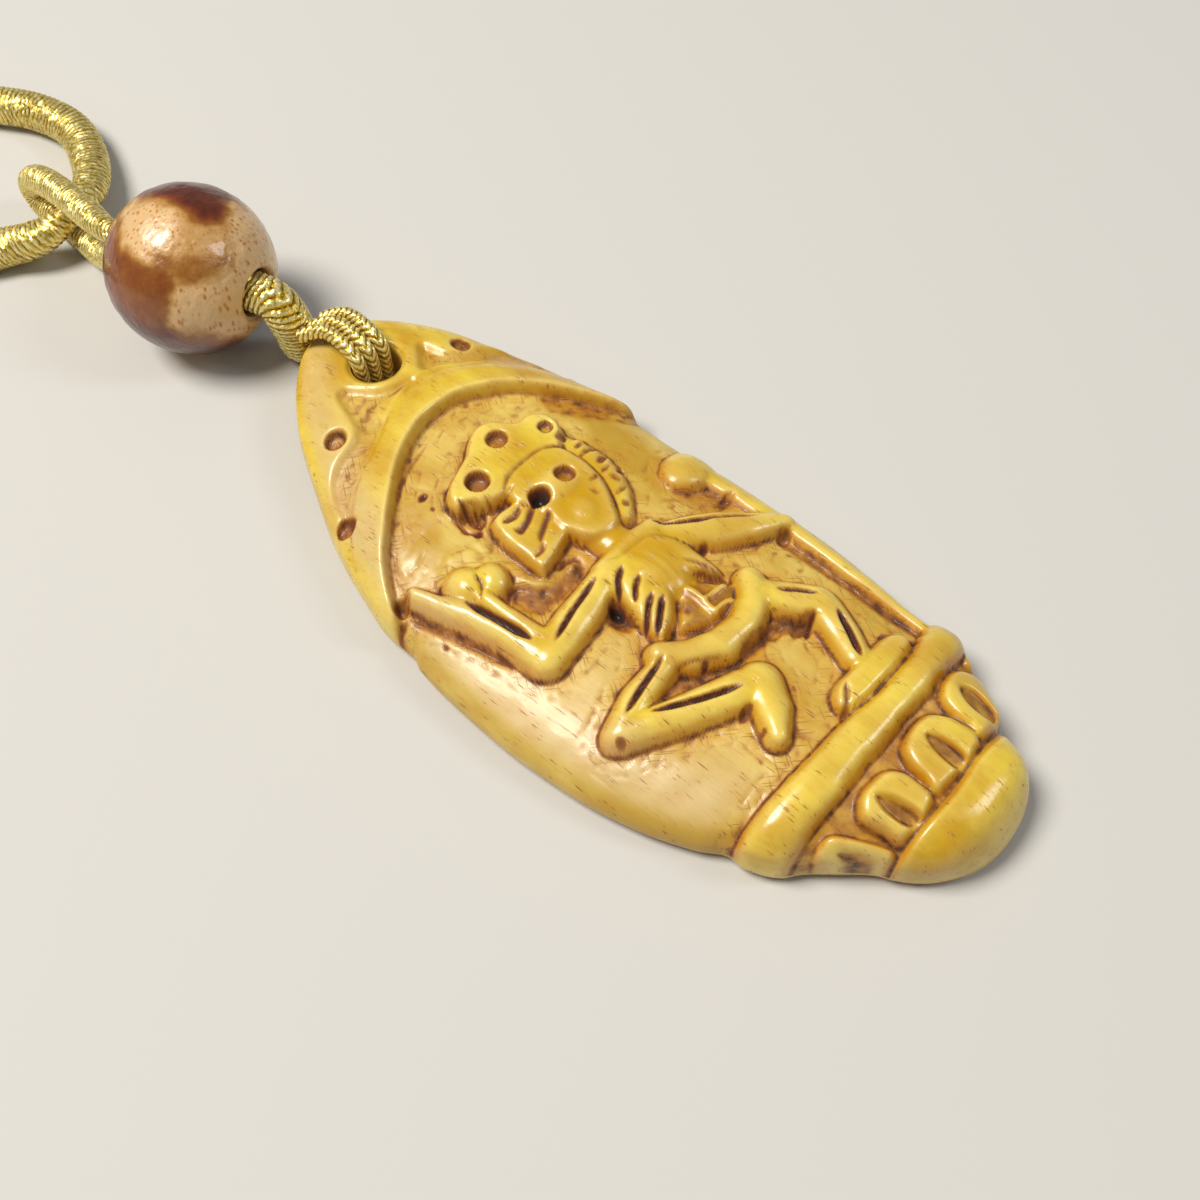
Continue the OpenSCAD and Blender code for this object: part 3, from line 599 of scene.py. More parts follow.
def foot_forms(x, y):
    """The roll, the lotus petals with their inner loops, and the rounded cap below them."""
    wave = 0.07 * np.sin(1.25 * x + 0.6) + 0.03 * np.sin(3.1 * x)
    roll_top, roll_low = through(roll_edge, x), ROLL_LOW + 0.8 * wave
    across_roll = (y - 0.5 * (roll_top + roll_low)) / (0.5 * (roll_top - roll_low))
    height = ROLL_H * np.clip(1 - np.abs(across_roll) ** 2.6, 0, 1) ** 0.5
    lip = 0.3 * np.exp(-((y - roll_low + 0.05) / 0.17) ** 2) * ease(-7, -5.5, x) * ease(5, 3.5, x)
    height = height + lip * (across_roll < -0.9)
    brown = 0.42 * ease(-23.6, -24.1, y) * ease(-29.1, -28.7, y)
    for edge, loop in petals:
        depth_in = inside(x, y, smooth(edge, steps=3)) + 0.12
        rounded = np.sqrt(1 - (1 - np.clip(depth_in / 0.7, 0, 1)) ** 2)
        petal = PETAL_H * rounded - 0.1 * ease(-26, -28.6, y)
        brown = brown * (1 - ease(0.02, 0.3, depth_in))
        if loop:
            scoop = ease(-0.1, 0.3, inside(x, y, smooth(loop, steps=3)))
            petal = petal - 0.75 * scoop * (0.6 + 0.4 * ease(-25.5, -28.3, y))
            brown = np.maximum(brown, 0.6 * scoop * ease(-28.9, -28, y))
        height = np.maximum(height, petal * (y > CAP_TOP))
    cap_line = CAP_TOP + 0.1 * np.sin(0.9 * x)
    cap = ease(0, 0.75, cap_line - y) ** 0.7 * ease(-33.9, -31.4, y)
    return np.maximum(height, cap) * ease(-19.4, -20.2, y), np.clip(brown, 0, 1) * (y < -20.3)


print("petals:", len(petals))

# %% [markdown]
# Now all forms come together. The higher form wins wherever two meet, with a small fillet, as a graver
# leaves it; then the cuts and holes go in, and a slow unevenness of about 0.05 mm keeps it hand-made.

# %% Carving the face
# Share of its marked height that the figure gets, heights of the belly's floor and of the spine, and
# how deep the open ground is cut and the cord has worn the bone round the hole
FIGURE_SHARE, BELLY_H, SPINE_H, GROUND_D, DISH_D = 0.9, 0.85, 1.3, 0.12, 0.35
# Height of the hand's unevenness, on the whole face and on the open ground below the arch
FACE_WAVE, GROUND_WAVE = 0.045, 0.02


def hand(x, y, size, seed):
    """Slow unevenness of hand work: a few crossed waves, mostly between -1 and 1, their size in mm."""
    rng = np.random.default_rng(seed)
    total = np.zeros(x.shape)
    for _ in range(7):
        angle, phase = rng.uniform(0, 2 * math.pi), rng.uniform(0, 2 * math.pi)
        step = 2 * math.pi / (size * rng.uniform(0.7, 1.5))
        total += np.sin((x * math.cos(angle) + y * math.sin(angle)) * step + phase)
    return total / 4


def raise_forms(x, y):
    """Height of arch, figure and foot above the blank, and how brown the ground beside them is."""
    left, right = through(outline, y, 1), through(outline, y, 2)
    top, scooped, crest = top_forms(x, y)
    figure = np.zeros(x.shape)
    for points, height in limbs:
        figure = blend_max(figure, roll(x, y, points, height), 0.2)
    for corners, height, edge, slanted in plates:
        figure = blend_max(figure, plate(x, y, corners, height, edge, slanted), 0.12)
    for centre, half, height, turn in bosses:
        figure = blend_max(figure, dome(x, y, centre, half, height, turn), 0.12)
    figure = FIGURE_SHARE * figure * ease(0, 1.1, right - x) * ease(0, 1.0, x - left)
    hollow = ease(0, 0.5, inside(x, y, belly))
    spine = SPINE_H * np.maximum.reduce([roll(x, y, row, 1.0, 0.7) for row in spine_lines])
    figure = figure * (1 - hollow) + hollow * np.maximum(BELLY_H, spine)
    brown = np.maximum(0.15 * scooped, 0.55 * hollow * (1 - ease(0.9, 1.2, spine)))
    feet, feet_brown = foot_forms(x, y)
    field = ease(0.3, -1.2, crest) * ease(-20, -18, y) * ease(0, 1.5, x - left) * ease(0, 1.5, right - x)
    lift = np.maximum(np.maximum(top, figure), feet) - GROUND_D * field * (1 - ease(0.1, 0.6, figure))
    brown = np.maximum(brown, feet_brown)
    for corners, depth, dark in scoops:
        share = ease(-0.25, 0.5, inside(x, y, smooth(corners))) * (1 - ease(0.3, 1.0, figure))
        lift = lift - depth * share
        brown = np.maximum(brown, dark * share)
    uneven = FACE_WAVE * hand(x, y, 3.2, 3) + GROUND_WAVE * field * hand(x, y, 1.7, 5) * (y > 5)
    return lift + uneven, brown


def cut_in(x, y, lift, brown):
    """Takes cuts, holes and pits from the raised forms, and tells how brown and how inky it is there."""
    ink = np.zeros(x.shape)
    for points, width, depth, dark in cuts:
        deep, black = graver_cut(x, y, points, width, depth)
        lift = lift - deep
        ink = np.maximum(ink, dark * black)
    for centre, half, depth, dark in pits:
        lift = lift - depth * dome(x, y, centre, half, 1, 0, 0.3)
        wide = [h + 0.06 for h in half]
        wiped = (dark < 1) * (half[0] > 0.55) * dome(x, y, centre, [0.75 * h for h in half], 1, 0, 0.5)
        ink = np.maximum(ink, dark * dome(x, y, centre, wide, 1, 0, 0.35) * (1 - 0.75 * wiped))
        stained = min(1, 0.35 + dark) * dome(x, y, centre, wide, 1, 0, 0.3)
        brown = np.maximum(brown, stained * (1 - 0.45 * wiped))
    from_hole = np.hypot(x - HOLE_AT[0], y - HOLE_AT[1])
    return lift - DISH_D * ease(HOLE_R + 0.6, HOLE_R - 0.1, from_hole) ** 1.5, brown, ink


print("forms to raise on the blank:", len(limbs) + len(plates) + len(bosses) + len(petals))

# %% [markdown]
# The face is sampled twice. The first time is on a square grid, which keeps the heights and gives the
# shading values, with painted light among them: steep walls and hollows get a painted amber glow and
# shade, for light through the bone and shade falling there; their feet get a thin brown line of painted
# shade; and what stands proud is painted pale, for wear and a painted highlight. Blurred copies of the
# heights tell which is which.

# %% Sampling the face
STEP = 0.1
grid_x, grid_y = np.meshgrid(np.arange(-18.5, 13.5, STEP), np.arange(-35, 35, STEP))


def blur(image, radius):
    """A Gaussian blur, radius in millimetres."""
    reach = int(3 * radius / STEP)
    weights = np.exp(-0.5 * (np.arange(-reach, reach + 1) * STEP / radius) ** 2)
    weights /= weights.sum()
    for axis in (0, 1):
        margin = [(reach, reach) if a == axis else (0, 0) for a in (0, 1)]
        padded = np.pad(image, margin, mode="edge")
        size = image.shape[axis]
        image = sum(w * np.take(padded, range(k, k + size), axis) for k, w in enumerate(weights))
    return image


def sample(image, x, y):
    """Reads a map between its grid points."""
    u, v = (x - grid_x[0, 0]) / STEP, (y - grid_y[0, 0]) / STEP
    i, j = np.clip(u.astype(int), 0, image.shape[1] - 2), np.clip(v.astype(int), 0, image.shape[0] - 2)
    a, b = u - i, v - j
    low = image[j, i] * (1 - a) + image[j, i + 1] * a
    high = image[j + 1, i] * (1 - a) + image[j + 1, i + 1] * a
    return low * (1 - b) + high * b


raised, grid_brown = raise_forms(grid_x, grid_y)
# Polishing rounds every edge by about a tenth of a millimetre, before the last cuts are made
raised = blur(raised, 0.1)
grid_lift, grid_brown, grid_ink = cut_in(grid_x, grid_y, raised, grid_brown)
print("relief from %.2f to %.2f mm about the dome" % (grid_lift.min(), grid_lift.max()))

# %% Walls and their feet
soft_lift = blur(grid_lift, 0.12)
slope_y, slope_x = np.gradient(soft_lift, STEP)
steep = np.hypot(slope_x, slope_y)
fine_low = blur(grid_lift, 0.28) - soft_lift
wide_low = blur(grid_lift, 0.9) - soft_lift
# Painted amber glow and shade: on steep walls for light through the bone, in low hollows for shade
amber = 0.75 * ease(0.4, 1.5, steep) + 0.8 * np.clip(wide_low - 0.08, 0, 1)
amber = amber + 0.5 * ease(-0.1, 0.25, wide_low) * ease(0.1, -0.1, grid_lift)
# A thin brown line at the foot of each wall: painted shade
low_line = blur(grid_lift, 0.15) - grid_lift - 0.02
line = np.clip(20.0 * low_line, 0, 1) * ease(0.15, 0.6, blur(steep, 0.3))
# The arch's wall gets less painted amber shade and a fainter painted shade line, so it reads as lit
wall_crest = top_forms(grid_x, grid_y)[2]
arch_wall = ease(-1.5, -1.0, wall_crest) * ease(0.6, 0.2, wall_crest) * ease(7, 9, grid_y)
amber = amber * (1 - 0.55 * arch_wall)
line = line * (1 - 0.5 * arch_wall)
print("amber covers %.0f %% of the grid" % (100 * (amber > 0.3).mean()))

# %% [markdown]
# The ground between the forms shows how it was made. The graver went round each form in short passes,
# about half a millimetre apart, and dye stayed in them. The open ground at the lower left was polished
# longer and is paler, and it and the left edge also get a painted sheen. Near the forms the ground gets
# painted shade.

# %% The ground between the forms
near = blur(ease(0.2, 0.7, grid_lift), 1.1)
open_field = ease(0.55, 0.2, blur(grid_lift, 0.25)) * ease(-23, -20, grid_y)
passes = np.sin(24.2 * np.sqrt(near) + 1.3 * hand(grid_x, grid_y, 2.4, 8)) * ease(0.03, 0.12, near)
gaps = ease(-0.5, 0.6, hand(grid_x, grid_y, 1.3, 9))
marks = open_field * gaps * np.clip(passes, 0, 1) ** 2
marks = marks + 0.5 * open_field * ease(0.2, 0.9, hand(grid_x, grid_y, 0.9, 12)) * ease(0.02, 0.1, near)
# Painted shade on the open ground near the forms, uneven in strength
painted_shade_near_forms = open_field * ease(0.12, 0.5, near) * (0.5 + 0.3 * hand(grid_x, grid_y, 1.6, 4))
# Paler ground at the lower left and along the left edge: longer polish and a painted sheen
pale = 0.5 * ease(0.25, 0.0, near) * ease(5, -12, grid_x) * ease(8, -4, grid_y)
pale = pale * ease(0.5, 0.2, blur(grid_lift, 0.3))
rim = grid_x - through(outline, grid_y, 1)
pale = np.maximum(pale, ease(6.0, 2.5, rim) * ease(-20, -17, grid_y) * (1 - 0.25 * ease(17, 27, grid_y)))
pale = pale * ease(0.2, 1.7, rim)
# Beside real dye, ink and wear these masks carry painted light: amber glow and shade, shade in the dye,
# sheen on the pale ground and a highlight on proud edges
shade_maps = {
    "amber": np.clip(amber + 0.25 * painted_shade_near_forms, 0, 1),
    "dye": np.clip(np.maximum(grid_brown, line) + 0.5 * marks + 0.08 * painted_shade_near_forms, 0, 1),
    "worked": open_field * ease(0.04, 0.3, near),
    "pale": pale,
    "ink": np.clip(1.1 * blur(grid_ink, 0.11), 0, 1),
    "worn": np.clip(-3.5 * fine_low, 0, 0.7) + np.clip(-1.4 * wide_low, 0, 0.5),
    "raised": ease(0.15, 0.9, blur(grid_lift, 0.3)),
}
print("shading values for each point:", ", ".join(shade_maps))

# %% [markdown]
# The second time, rings of points across the slab give the mesh itself, with heights read from the
# grid. Each ring runs over the carved face, down round the right edge, back under the flat and up round
# the left edge. Both ends of the slab close with a fan of faces.

# %% Rings, faces and stored values
def crowd_ends(share):
    """Spreads rows evenly but with more near both ends."""
    return 0.5 - 0.5 * (0.72 * (1 - 2 * share) + 0.28 * np.cos(math.pi * share))


def ring_faces(rows, sides):
    """Quads between rings of points, and fans to the two points that follow the last ring."""
    j, i = np.meshgrid(np.arange(rows - 1), np.arange(sides), indexing="ij")
    a, b = j * sides + i, j * sides + (i + 1) % sides
    faces = np.stack([a, b, b + sides, a + sides], 2).reshape(-1, 4).tolist()
    k, top, first = np.arange(sides), (rows - 1) * sides, rows * sides
    faces += np.stack([np.full(sides, first), (k + 1) % sides, k], 1).tolist()
    return faces + np.stack([np.full(sides, first + 1), top + k, top + (k + 1) % sides], 1).tolist()


def new_piece(name, vertices, faces):
    """A smooth mesh object from points in millimetres."""
    mesh = bpy.data.meshes.new(name)
    mesh.from_pydata((np.asarray(vertices, float) * MM).tolist(), [], faces)
    mesh.polygons.foreach_set("use_smooth", [True] * len(mesh.polygons))
    mesh.update()
    return new_object(name, mesh)


def store(piece, name, values):
    """Keeps one number for each point of a piece, for its material to read."""
    values = np.broadcast_to(np.asarray(values, np.float32), len(piece.data.vertices))
    piece.data.attributes.new(name, "FLOAT", "POINT").data.foreach_set("value", values)


print("a ring of 4 points and its two ends close with %d faces" % len(ring_faces(1, 4)))

# %% The carved pendant's mesh
ROWS, ACROSS, UNDER, EDGE_ROUND = 470, 172, 9, 1.15
row_y = FOOT_Y + LENGTH * crowd_ends(np.linspace(0.0005, 0.9995, ROWS))
across = crowd_ends(np.linspace(0, 1, ACROSS))
left, right = through(outline, row_y, 1)[:, None], through(outline, row_y, 2)[:, None]
face_x = left + (right - left) * across[None, :]
face_y = np.repeat(row_y[:, None], ACROSS, 1)
edge_z, back_z = through(section, row_y, 2)[:, None], through(section, row_y, 3)[:, None]
plain = dome_height(face_x, face_y)
carved = sample(blur(grid_lift, 0.07) - 0.07 * marks, face_x, face_y)
face_z = plain + ease(0.02, 0.16, (plain - edge_z) / 4) * carved
turn = np.linspace(0, math.pi / 2, UNDER)[None, 1:]
inset = np.minimum(EDGE_ROUND, 0.3 * (right - left))
right_x = right - inset * (1 - np.cos(turn))
left_x = left + inset * (1 - np.cos(turn[:, ::-1]))
right_z = edge_z - (edge_z - back_z) * np.sin(turn)
left_z = edge_z - (edge_z - back_z) * np.sin(turn[:, ::-1])
ring_x = np.concatenate([face_x, right_x, left_x], 1)
ring_z = np.concatenate([face_z, right_z, left_z], 1)
RING = ring_x.shape[1]
points = np.stack([ring_x, np.repeat(row_y[:, None], RING, 1), ring_z], 2).reshape(-1, 3)
points = np.vstack([points, points[:RING].mean(0), points[-RING:].mean(0)])
pendant = new_piece("bone_pendant", points, ring_faces(ROWS, RING))
under = np.arange(len(points)) % RING >= ACROSS
for name, image in shade_maps.items():
    values = sample(image, points[:, 0], points[:, 1])
    # The back gets a little painted amber shade and keeps its pale and raised values
    below = 0.3 if name == "amber" else values * (name in ("pale", "raised"))
    store(pendant, name, np.where(under, below, values))
print("pendant faces:", len(pendant.data.polygons))

# %% [markdown]
# The hole is drilled after the carving, as on the real slab, by taking a plain drill shape away. The
# drill carries the same kinds of shading value, so the wall of the hole comes out dark with dye and
# painted shade.

# %% Drilling the hole
SIDES = 96
levels = [-1, 2, 3, 4, 5, 9]
spin = [2 * math.pi * k / SIDES for k in range(SIDES)]
circle = [(HOLE_AT[0] + HOLE_R * math.cos(a), HOLE_AT[1] + HOLE_R * math.sin(a)) for a in spin]
wall = [(x, y, z) for z in levels for x, y in circle]
ends = [(*HOLE_AT, levels[0]), (*HOLE_AT, levels[-1])]
drill = new_piece("drill", wall + ends, ring_faces(len(levels), SIDES))
# The hole's wall is dark with dye and with painted amber shade
hole_wall = {"amber": 0.9, "dye": 0.9, "ink": 0.25}
for name in shade_maps:
    store(drill, name, hole_wall.get(name, 0))
cut = pendant.modifiers.new("hole", "BOOLEAN")
cut.object, cut.operation, cut.solver = drill, "DIFFERENCE", "EXACT"


def bake_modifiers(piece):
    """Turns the piece's live modifiers into a plain mesh."""
    depsgraph = bpy.context.evaluated_depsgraph_get()
    evaluated = piece.evaluated_get(depsgraph)
    mesh = bpy.data.meshes.new_from_object(evaluated, preserve_all_data_layers=True, depsgraph=depsgraph)
    piece.modifiers.clear()
    old, piece.data = piece.data, mesh
    bpy.data.meshes.remove(old)
    mesh.name = piece.name


bake_modifiers(pendant)
bpy.data.objects.remove(drill)
print("pendant after drilling: %d faces" % len(pendant.data.polygons))

# %% [markdown]
# Dyed and polished bone. Cattle bone is boiled, cut along the shaft, dyed with tea or wax to a honey
# yellow, rubbed with dark ink so that cuts stay black, and polished. The eye sees warm yellow on worn,
# raised forms, a paler tan on open ground and brown where dye has stayed. Painted light lies over it: an
# amber glow and shade on walls and in hollows, shade near and at the feet of the forms, a sheen on the
# pale ground and a highlight on proud edges. The colours are worked out as coats, each with a mask that
# says where it covers the ones below.

# %% The bone's base colours and dye
bone, tree, shader = new_material("dyed_polished_bone", {
    "IOR": 1.54, "Coat Weight": 0.15, "Coat Roughness": 0.08, "Subsurface Weight": 0.16,
    "Subsurface Radius": (1.0, 0.45, 0.12), "Subsurface Scale": 0.8 * MM})
place = add_node(tree, "ShaderNodeTexCoord").outputs["Object"]
kept = {}
for name in shade_maps:
    kept[name] = add_node(tree, "ShaderNodeAttribute", attribute_name=name).outputs["Fac"]


def per_mm(*size):
    """Scale for a Mapping node: one unit of the pattern is this many millimetres along x, y and z."""
    return [1 / (s * MM) for s in size]


slow = add_node(tree, "ShaderNodeMapping", {"Vector": place, "Scale": per_mm(5, 9, 5)})
cloud = add_node(tree, "ShaderNodeTexNoise", {"Vector": slow, "Scale": 1.0, "Detail": 4.0})
patchy = add_node(tree, "ShaderNodeMapping", {"Vector": place, "Scale": per_mm(0.9, 1.6, 0.9)})
patches = add_node(tree, "ShaderNodeTexNoise", {"Vector": patchy, "Scale": 1.0, "Detail": 5.0,
                                                "Roughness": 0.62})
tan = add_node(tree, "ShaderNodeValToRGB", {"Fac": cloud}, [(0.4, "#b8932c"), (0.6, "#d2b85c")])
worn_form = add_node(tree, "ShaderNodeValToRGB", {"Fac": cloud}, [(0.4, "#be9406"), (0.6, "#dabf3a")])
# Proud edges are painted pale, for wear and for a painted highlight
wear_and_highlight_coat = add_node(tree, "ShaderNodeMath", {0: kept["worn"], 1: 0.5}, operation="MULTIPLY")
mottle = add_node(tree, "ShaderNodeMapRange", {"Value": patches, "From Min": 0.4, "From Max": 0.62,
                                               "To Min": -0.05, "To Max": 0.15})
# Steep walls and hollows take the painted amber glow and shade
painted_amber_coat = add_node(tree, "ShaderNodeMath", {0: kept["amber"], 1: 0.7, 2: mottle}, operation="MULTIPLY_ADD",
                 use_clamp=True)
uneven = add_node(tree, "ShaderNodeMapRange", {"Value": patches, "From Min": 0.3, "From Max": 0.65,
                                               "To Min": 0.35})
# Brown of dye in cuts and hollows, together with painted shade near the forms and at their feet
dye = add_node(tree, "ShaderNodeMath", {0: kept["dye"], 1: uneven}, operation="MULTIPLY")
brown = add_node(tree, "ShaderNodeValToRGB", {"Fac": dye},
                 [(0.1, "#b0720e"), (0.4, "#884606"), (0.8, "#3f1803")])
dye_and_shade_mask = add_node(tree, "ShaderNodeValToRGB", {"Fac": dye}, [(0.06, 0.0), (0.4, 0.7), (0.8, 0.97)])
print("base colours and dye: %d nodes so far" % len(tree.nodes))

# %% [markdown]
# Bone has a grain. Its own canals end in short fine dark lines along the shaft, 0.05 to 0.1 mm wide, and
# here 0.17 mm, so that they show. Polishing leaves fainter streaks the same way. Beside the forms the
# graver slipped and left hairlines in the two directions that a right hand cuts best.

# %% Canals, fibre and slips
shaft = add_node(tree, "ShaderNodeMapping", {"Vector": place, "Scale": per_mm(0.17, 2.3, 0.6)})
cells = add_node(tree, "ShaderNodeTexVoronoi", {"Vector": shaft, "Scale": 1.0})
thin = add_node(tree, "ShaderNodeValToRGB", {"Fac": cells}, [(0.16, 1.0), (0.3, 0.0)])
some = add_node(tree, "ShaderNodeValToRGB", {"Fac": patches}, [(0.48, 0.0), (0.62, 0.8)])
canals = add_node(tree, "ShaderNodeMath", {0: thin, 1: some}, operation="MULTIPLY")
fibre = add_node(tree, "ShaderNodeMapping", {"Vector": place, "Scale": per_mm(0.14, 3.5, 0.5)})
fibre = add_node(tree, "ShaderNodeTexNoise", {"Vector": fibre, "Scale": 1.0, "Detail": 2.0,
                                              "Roughness": 0.6})
streak = add_node(tree, "ShaderNodeMapRange", {"Value": fibre, "From Min": 0.48, "From Max": 0.72,
                                               "To Max": 0.12})
grooves, hairlines = canals, []
for turned in (0.75, -0.6):
    slips = add_node(tree, "ShaderNodeMapping",
                     {"Vector": place, "Rotation": (0, 0, turned),
                      "Scale": (0.17 * MM, 3.4 * MM, 0.8 * MM)}, vector_type="TEXTURE")
    slips = add_node(tree, "ShaderNodeTexVoronoi", {"Vector": slips, "Scale": 1.0})
    slips = add_node(tree, "ShaderNodeValToRGB", {"Fac": slips}, [(0.17, 1.0), (0.27, 0.0)])
    slips = add_node(tree, "ShaderNodeMath", {0: slips, 1: kept["worked"]}, operation="MULTIPLY")
    grooves = add_node(tree, "ShaderNodeMath", {0: grooves, 1: slips}, operation="MAXIMUM")
    hairlines.append(add_node(tree, "ShaderNodeMath", {0: slips, 1: 0.45}, operation="MULTIPLY"))
print("with the grain: %d nodes" % len(tree.nodes))

# %% The ink, and all coats together
# Ink is nearly black in the cuts, with a brown edge where it was wiped
blots = add_node(tree, "ShaderNodeMapRange", {"Value": patches, "From Min": 0.3, "From Max": 0.5,
                                              "To Min": 0.6})
ink = add_node(tree, "ShaderNodeMath", {0: kept["ink"], 1: blots}, operation="MULTIPLY")
black = add_node(tree, "ShaderNodeValToRGB", {"Fac": ink},
                 [(0.25, "#8a4a0c"), (0.6, "#542305"), (0.95, "#1e0d05")])
inked = add_node(tree, "ShaderNodeValToRGB", {"Fac": ink}, [(0.12, 0.0), (0.55, 1.0)])
# The pale, edge, amber and brown coats carry painted sheen, highlight and shade beside real colour
tone = tan
for cover, colour in ((kept["raised"], worn_form), (kept["pale"], "#c9ae70"), (wear_and_highlight_coat, "#e9d684"),
                      (painted_amber_coat, "#bd7a08"), (dye_and_shade_mask, brown), (canals, "#80500f"), (streak, "#9a6210"),
                      (hairlines[0], "#70400f"), (hairlines[1], "#70400f"), (inked, black)):
    tone = add_node(tree, "ShaderNodeMix", {"Factor": cover, "A": tone, "B": colour}, data_type="RGBA")
tree.links.new(tone.outputs[2], shader.inputs["Base Color"])
print("with all coats: %d nodes" % len(tree.nodes))

# %% The bone's polish
# Polish reaches the high forms; where dye and painted shade or ink lies, it stays duller
low_dull = add_node(tree, "ShaderNodeMapRange", {"Value": kept["raised"], "To Min": 0.3, "To Max": 0.16})
dull = add_node(tree, "ShaderNodeMath", {0: dye, 1: 0.4, 2: low_dull}, operation="MULTIPLY_ADD")
dull = add_node(tree, "ShaderNodeMath", {0: ink, 1: 0.4, 2: dull}, operation="MULTIPLY_ADD")
uneven_polish = add_node(tree, "ShaderNodeMath", {0: fibre, 1: 0.2, 2: dull}, operation="MULTIPLY_ADD")
tree.links.new(uneven_polish.outputs[0], shader.inputs["Roughness"])
fine = add_node(tree, "ShaderNodeMapping", {"Vector": place, "Scale": per_mm(0.8, 1.6, 0.8)})
scrape = add_node(tree, "ShaderNodeTexNoise", {"Vector": fine, "Scale": 1.0, "Detail": 3.0})
ripple = add_node(tree, "ShaderNodeBump", {"Height": scrape, "Strength": 0.4, "Distance": 0.06 * MM})
pores = add_node(tree, "ShaderNodeBump", {"Height": grooves, "Normal": ripple, "Strength": 0.6,
                                          "Distance": 0.05 * MM}, invert=True)
tree.links.new(pores.outputs[0], shader.inputs["Normal"])
pendant.data.materials.clear()
pendant.data.materials.append(bone)
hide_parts("carved_pendant")
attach(pendant, "root")
print("the bone's material: %d nodes" % len(tree.nodes))

# %% [markdown]
# The bead is a fired and glazed ball, cream with brown clouds, drilled through for the cord. A ball from
# the Add menu has no bore, so its section is drawn instead, glazed face, rounded lip and bore, and turned
# round the bore's axis. The glaze isn't quite even: ripples of a few hundredths of a millimetre break
# up every reflection.

# %% The bead
BEAD_AT, BEAD_R, BEAD_SIDES = np.array([-3.9, 43.7, 6.9]), 6.9, 160
BORE_R, BORE_TURN, LIP_R, LIP_D, RIPPLE = 2.0, math.radians(16), 0.45, 0.35, 0.045
lip = math.asin((BORE_R + LIP_R) / BEAD_R)
face_turn = np.linspace(lip, math.pi - lip, 130)
round_turn = np.linspace(0, math.pi / 2, 7)[1:]
lip_r = BORE_R + LIP_R * (1 - np.sin(round_turn))
lip_h = BEAD_R * math.cos(lip) - LIP_D * (1 - np.cos(round_turn))
bore_h = np.linspace(-lip_h[-1], lip_h[-1], 12)[1:-1]
section_r = np.concatenate([BEAD_R * np.sin(face_turn), lip_r, np.full(len(bore_h), BORE_R), lip_r[::-1]])
section_h = np.concatenate([BEAD_R * np.cos(face_turn), -lip_h, bore_h, lip_h[::-1]])
spin = 2 * math.pi * np.arange(BEAD_SIDES) / BEAD_SIDES
axis = Vector((math.sin(BORE_TURN), -math.cos(BORE_TURN), 0))
frame_of_bore = np.array([Vector((-axis.y, axis.x, 0)), Vector((0, 0, 1)), axis])
local = np.stack([section_r[:, None] * np.cos(spin), section_r[:, None] * np.sin(spin),
                  np.repeat(section_h[:, None], BEAD_SIDES, 1)], 2).reshape(-1, 3) @ frame_of_bore
direction = local / np.linalg.norm(local, axis=1)[:, None]
outer = np.linalg.norm(local, axis=1) > BEAD_R - 0.3
wavy = np.array([noise.fractal(Vector(p) * 0.9, 0.8, 2.0, 3) for p in local])
local = local + direction * (RIPPLE * np.clip(wavy, -1, 1) * outer)[:, None]
j, i = np.meshgrid(np.arange(len(section_r)), np.arange(BEAD_SIDES), indexing="ij")
a, b = j * BEAD_SIDES + i, j * BEAD_SIDES + (i + 1) % BEAD_SIDES
faces = np.stack([a, a + BEAD_SIDES, b + BEAD_SIDES, b], 2).reshape(-1, 4) % len(local)
bead = new_piece("glazed_bead", local + BEAD_AT, faces.tolist())
print("bead faces:", len(bead.data.polygons))

# %% [markdown]
# The brown clouds are marked on the bead's own surface, so they stay in place in every view. On the side
# that the photograph shows they are outlines, in millimetres right and up from the bead's middle; the
# other side has clouds of the same kind from a noise.

# %% The bead's clouds
# Outline, how brown it is, and the start and end of its soft edge
cloud_table = [
    ([(-3.9, 5.9), (-2.6, 5.4), (-1.3, 5.1), (-0.4, 4.5), (0.3, 3.8), (1.3, 3.3), (2.4, 3.2), (2.9, 4.2),
      (3.2, 5.0), (4.2, 5.3), (5.2, 5.9), (4.4, 8), (0, 9.5), (-4.4, 8.2)], 0.98, -1.0, 1.1),
    ([(-4.4, 5.4), (-5.1, 4.0), (-5.2, 2.6), (-4.7, 1.3), (-3.5, 0.5), (-2.0, 0.2), (-1.4, -0.8),
      (-1.5, -2.1), (-2.0, -3.4), (-1.3, -4.5), (-0.2, -5.2), (1.3, -5.8), (3.2, -5.8), (3.4, -8.6),
      (0, -9.6), (-4, -9), (-7.4, -6.4), (-9.4, -2), (-9.4, 2.4), (-7, 6.4)], 0.68, -0.8, 0.9),
    # The low cloud is darker than the side one, partly as painted shade on the bead's underside
    ([(-6.0, -2.4), (-4.2, -3.4), (-2.4, -4.2), (-0.8, -5.0), (1.3, -5.6), (3.4, -5.7), (4.2, -8),
      (0, -9.6), (-5, -8.6), (-8, -5)], 0.9, -1.2, 1.2),
    ([(-2.6, 1.0), (-0.6, 0.9), (1.6, 1.1), (2.7, 0.7), (1.9, -0.3), (0.5, -0.9), (-1.2, -1.0),
      (-2.6, -0.4)], 0.5, -1.0, 0.6),
    ([(-0.9, 4.8), (0.8, 4.8), (2.4, 4.0), (3.0, 2.6), (2.6, 0.8), (0, 0.3), (-1.4, 1.0),
      (-0.8, 2.6)], 0.24, -1.2, 0.8),
]
warp = np.array([[noise.fractal(Vector(p) * 0.7 + Vector((k * 9, 0, 0)), 1.0, 2.0, 3) for k in range(3)]
                 for p in local])
seen = local + 0.45 * warp
towards = camera_at / MM - BEAD_AT
towards = towards / np.linalg.norm(towards)
bead_right = sideways - towards * (sideways @ towards)
bead_right = bead_right / np.linalg.norm(bead_right)
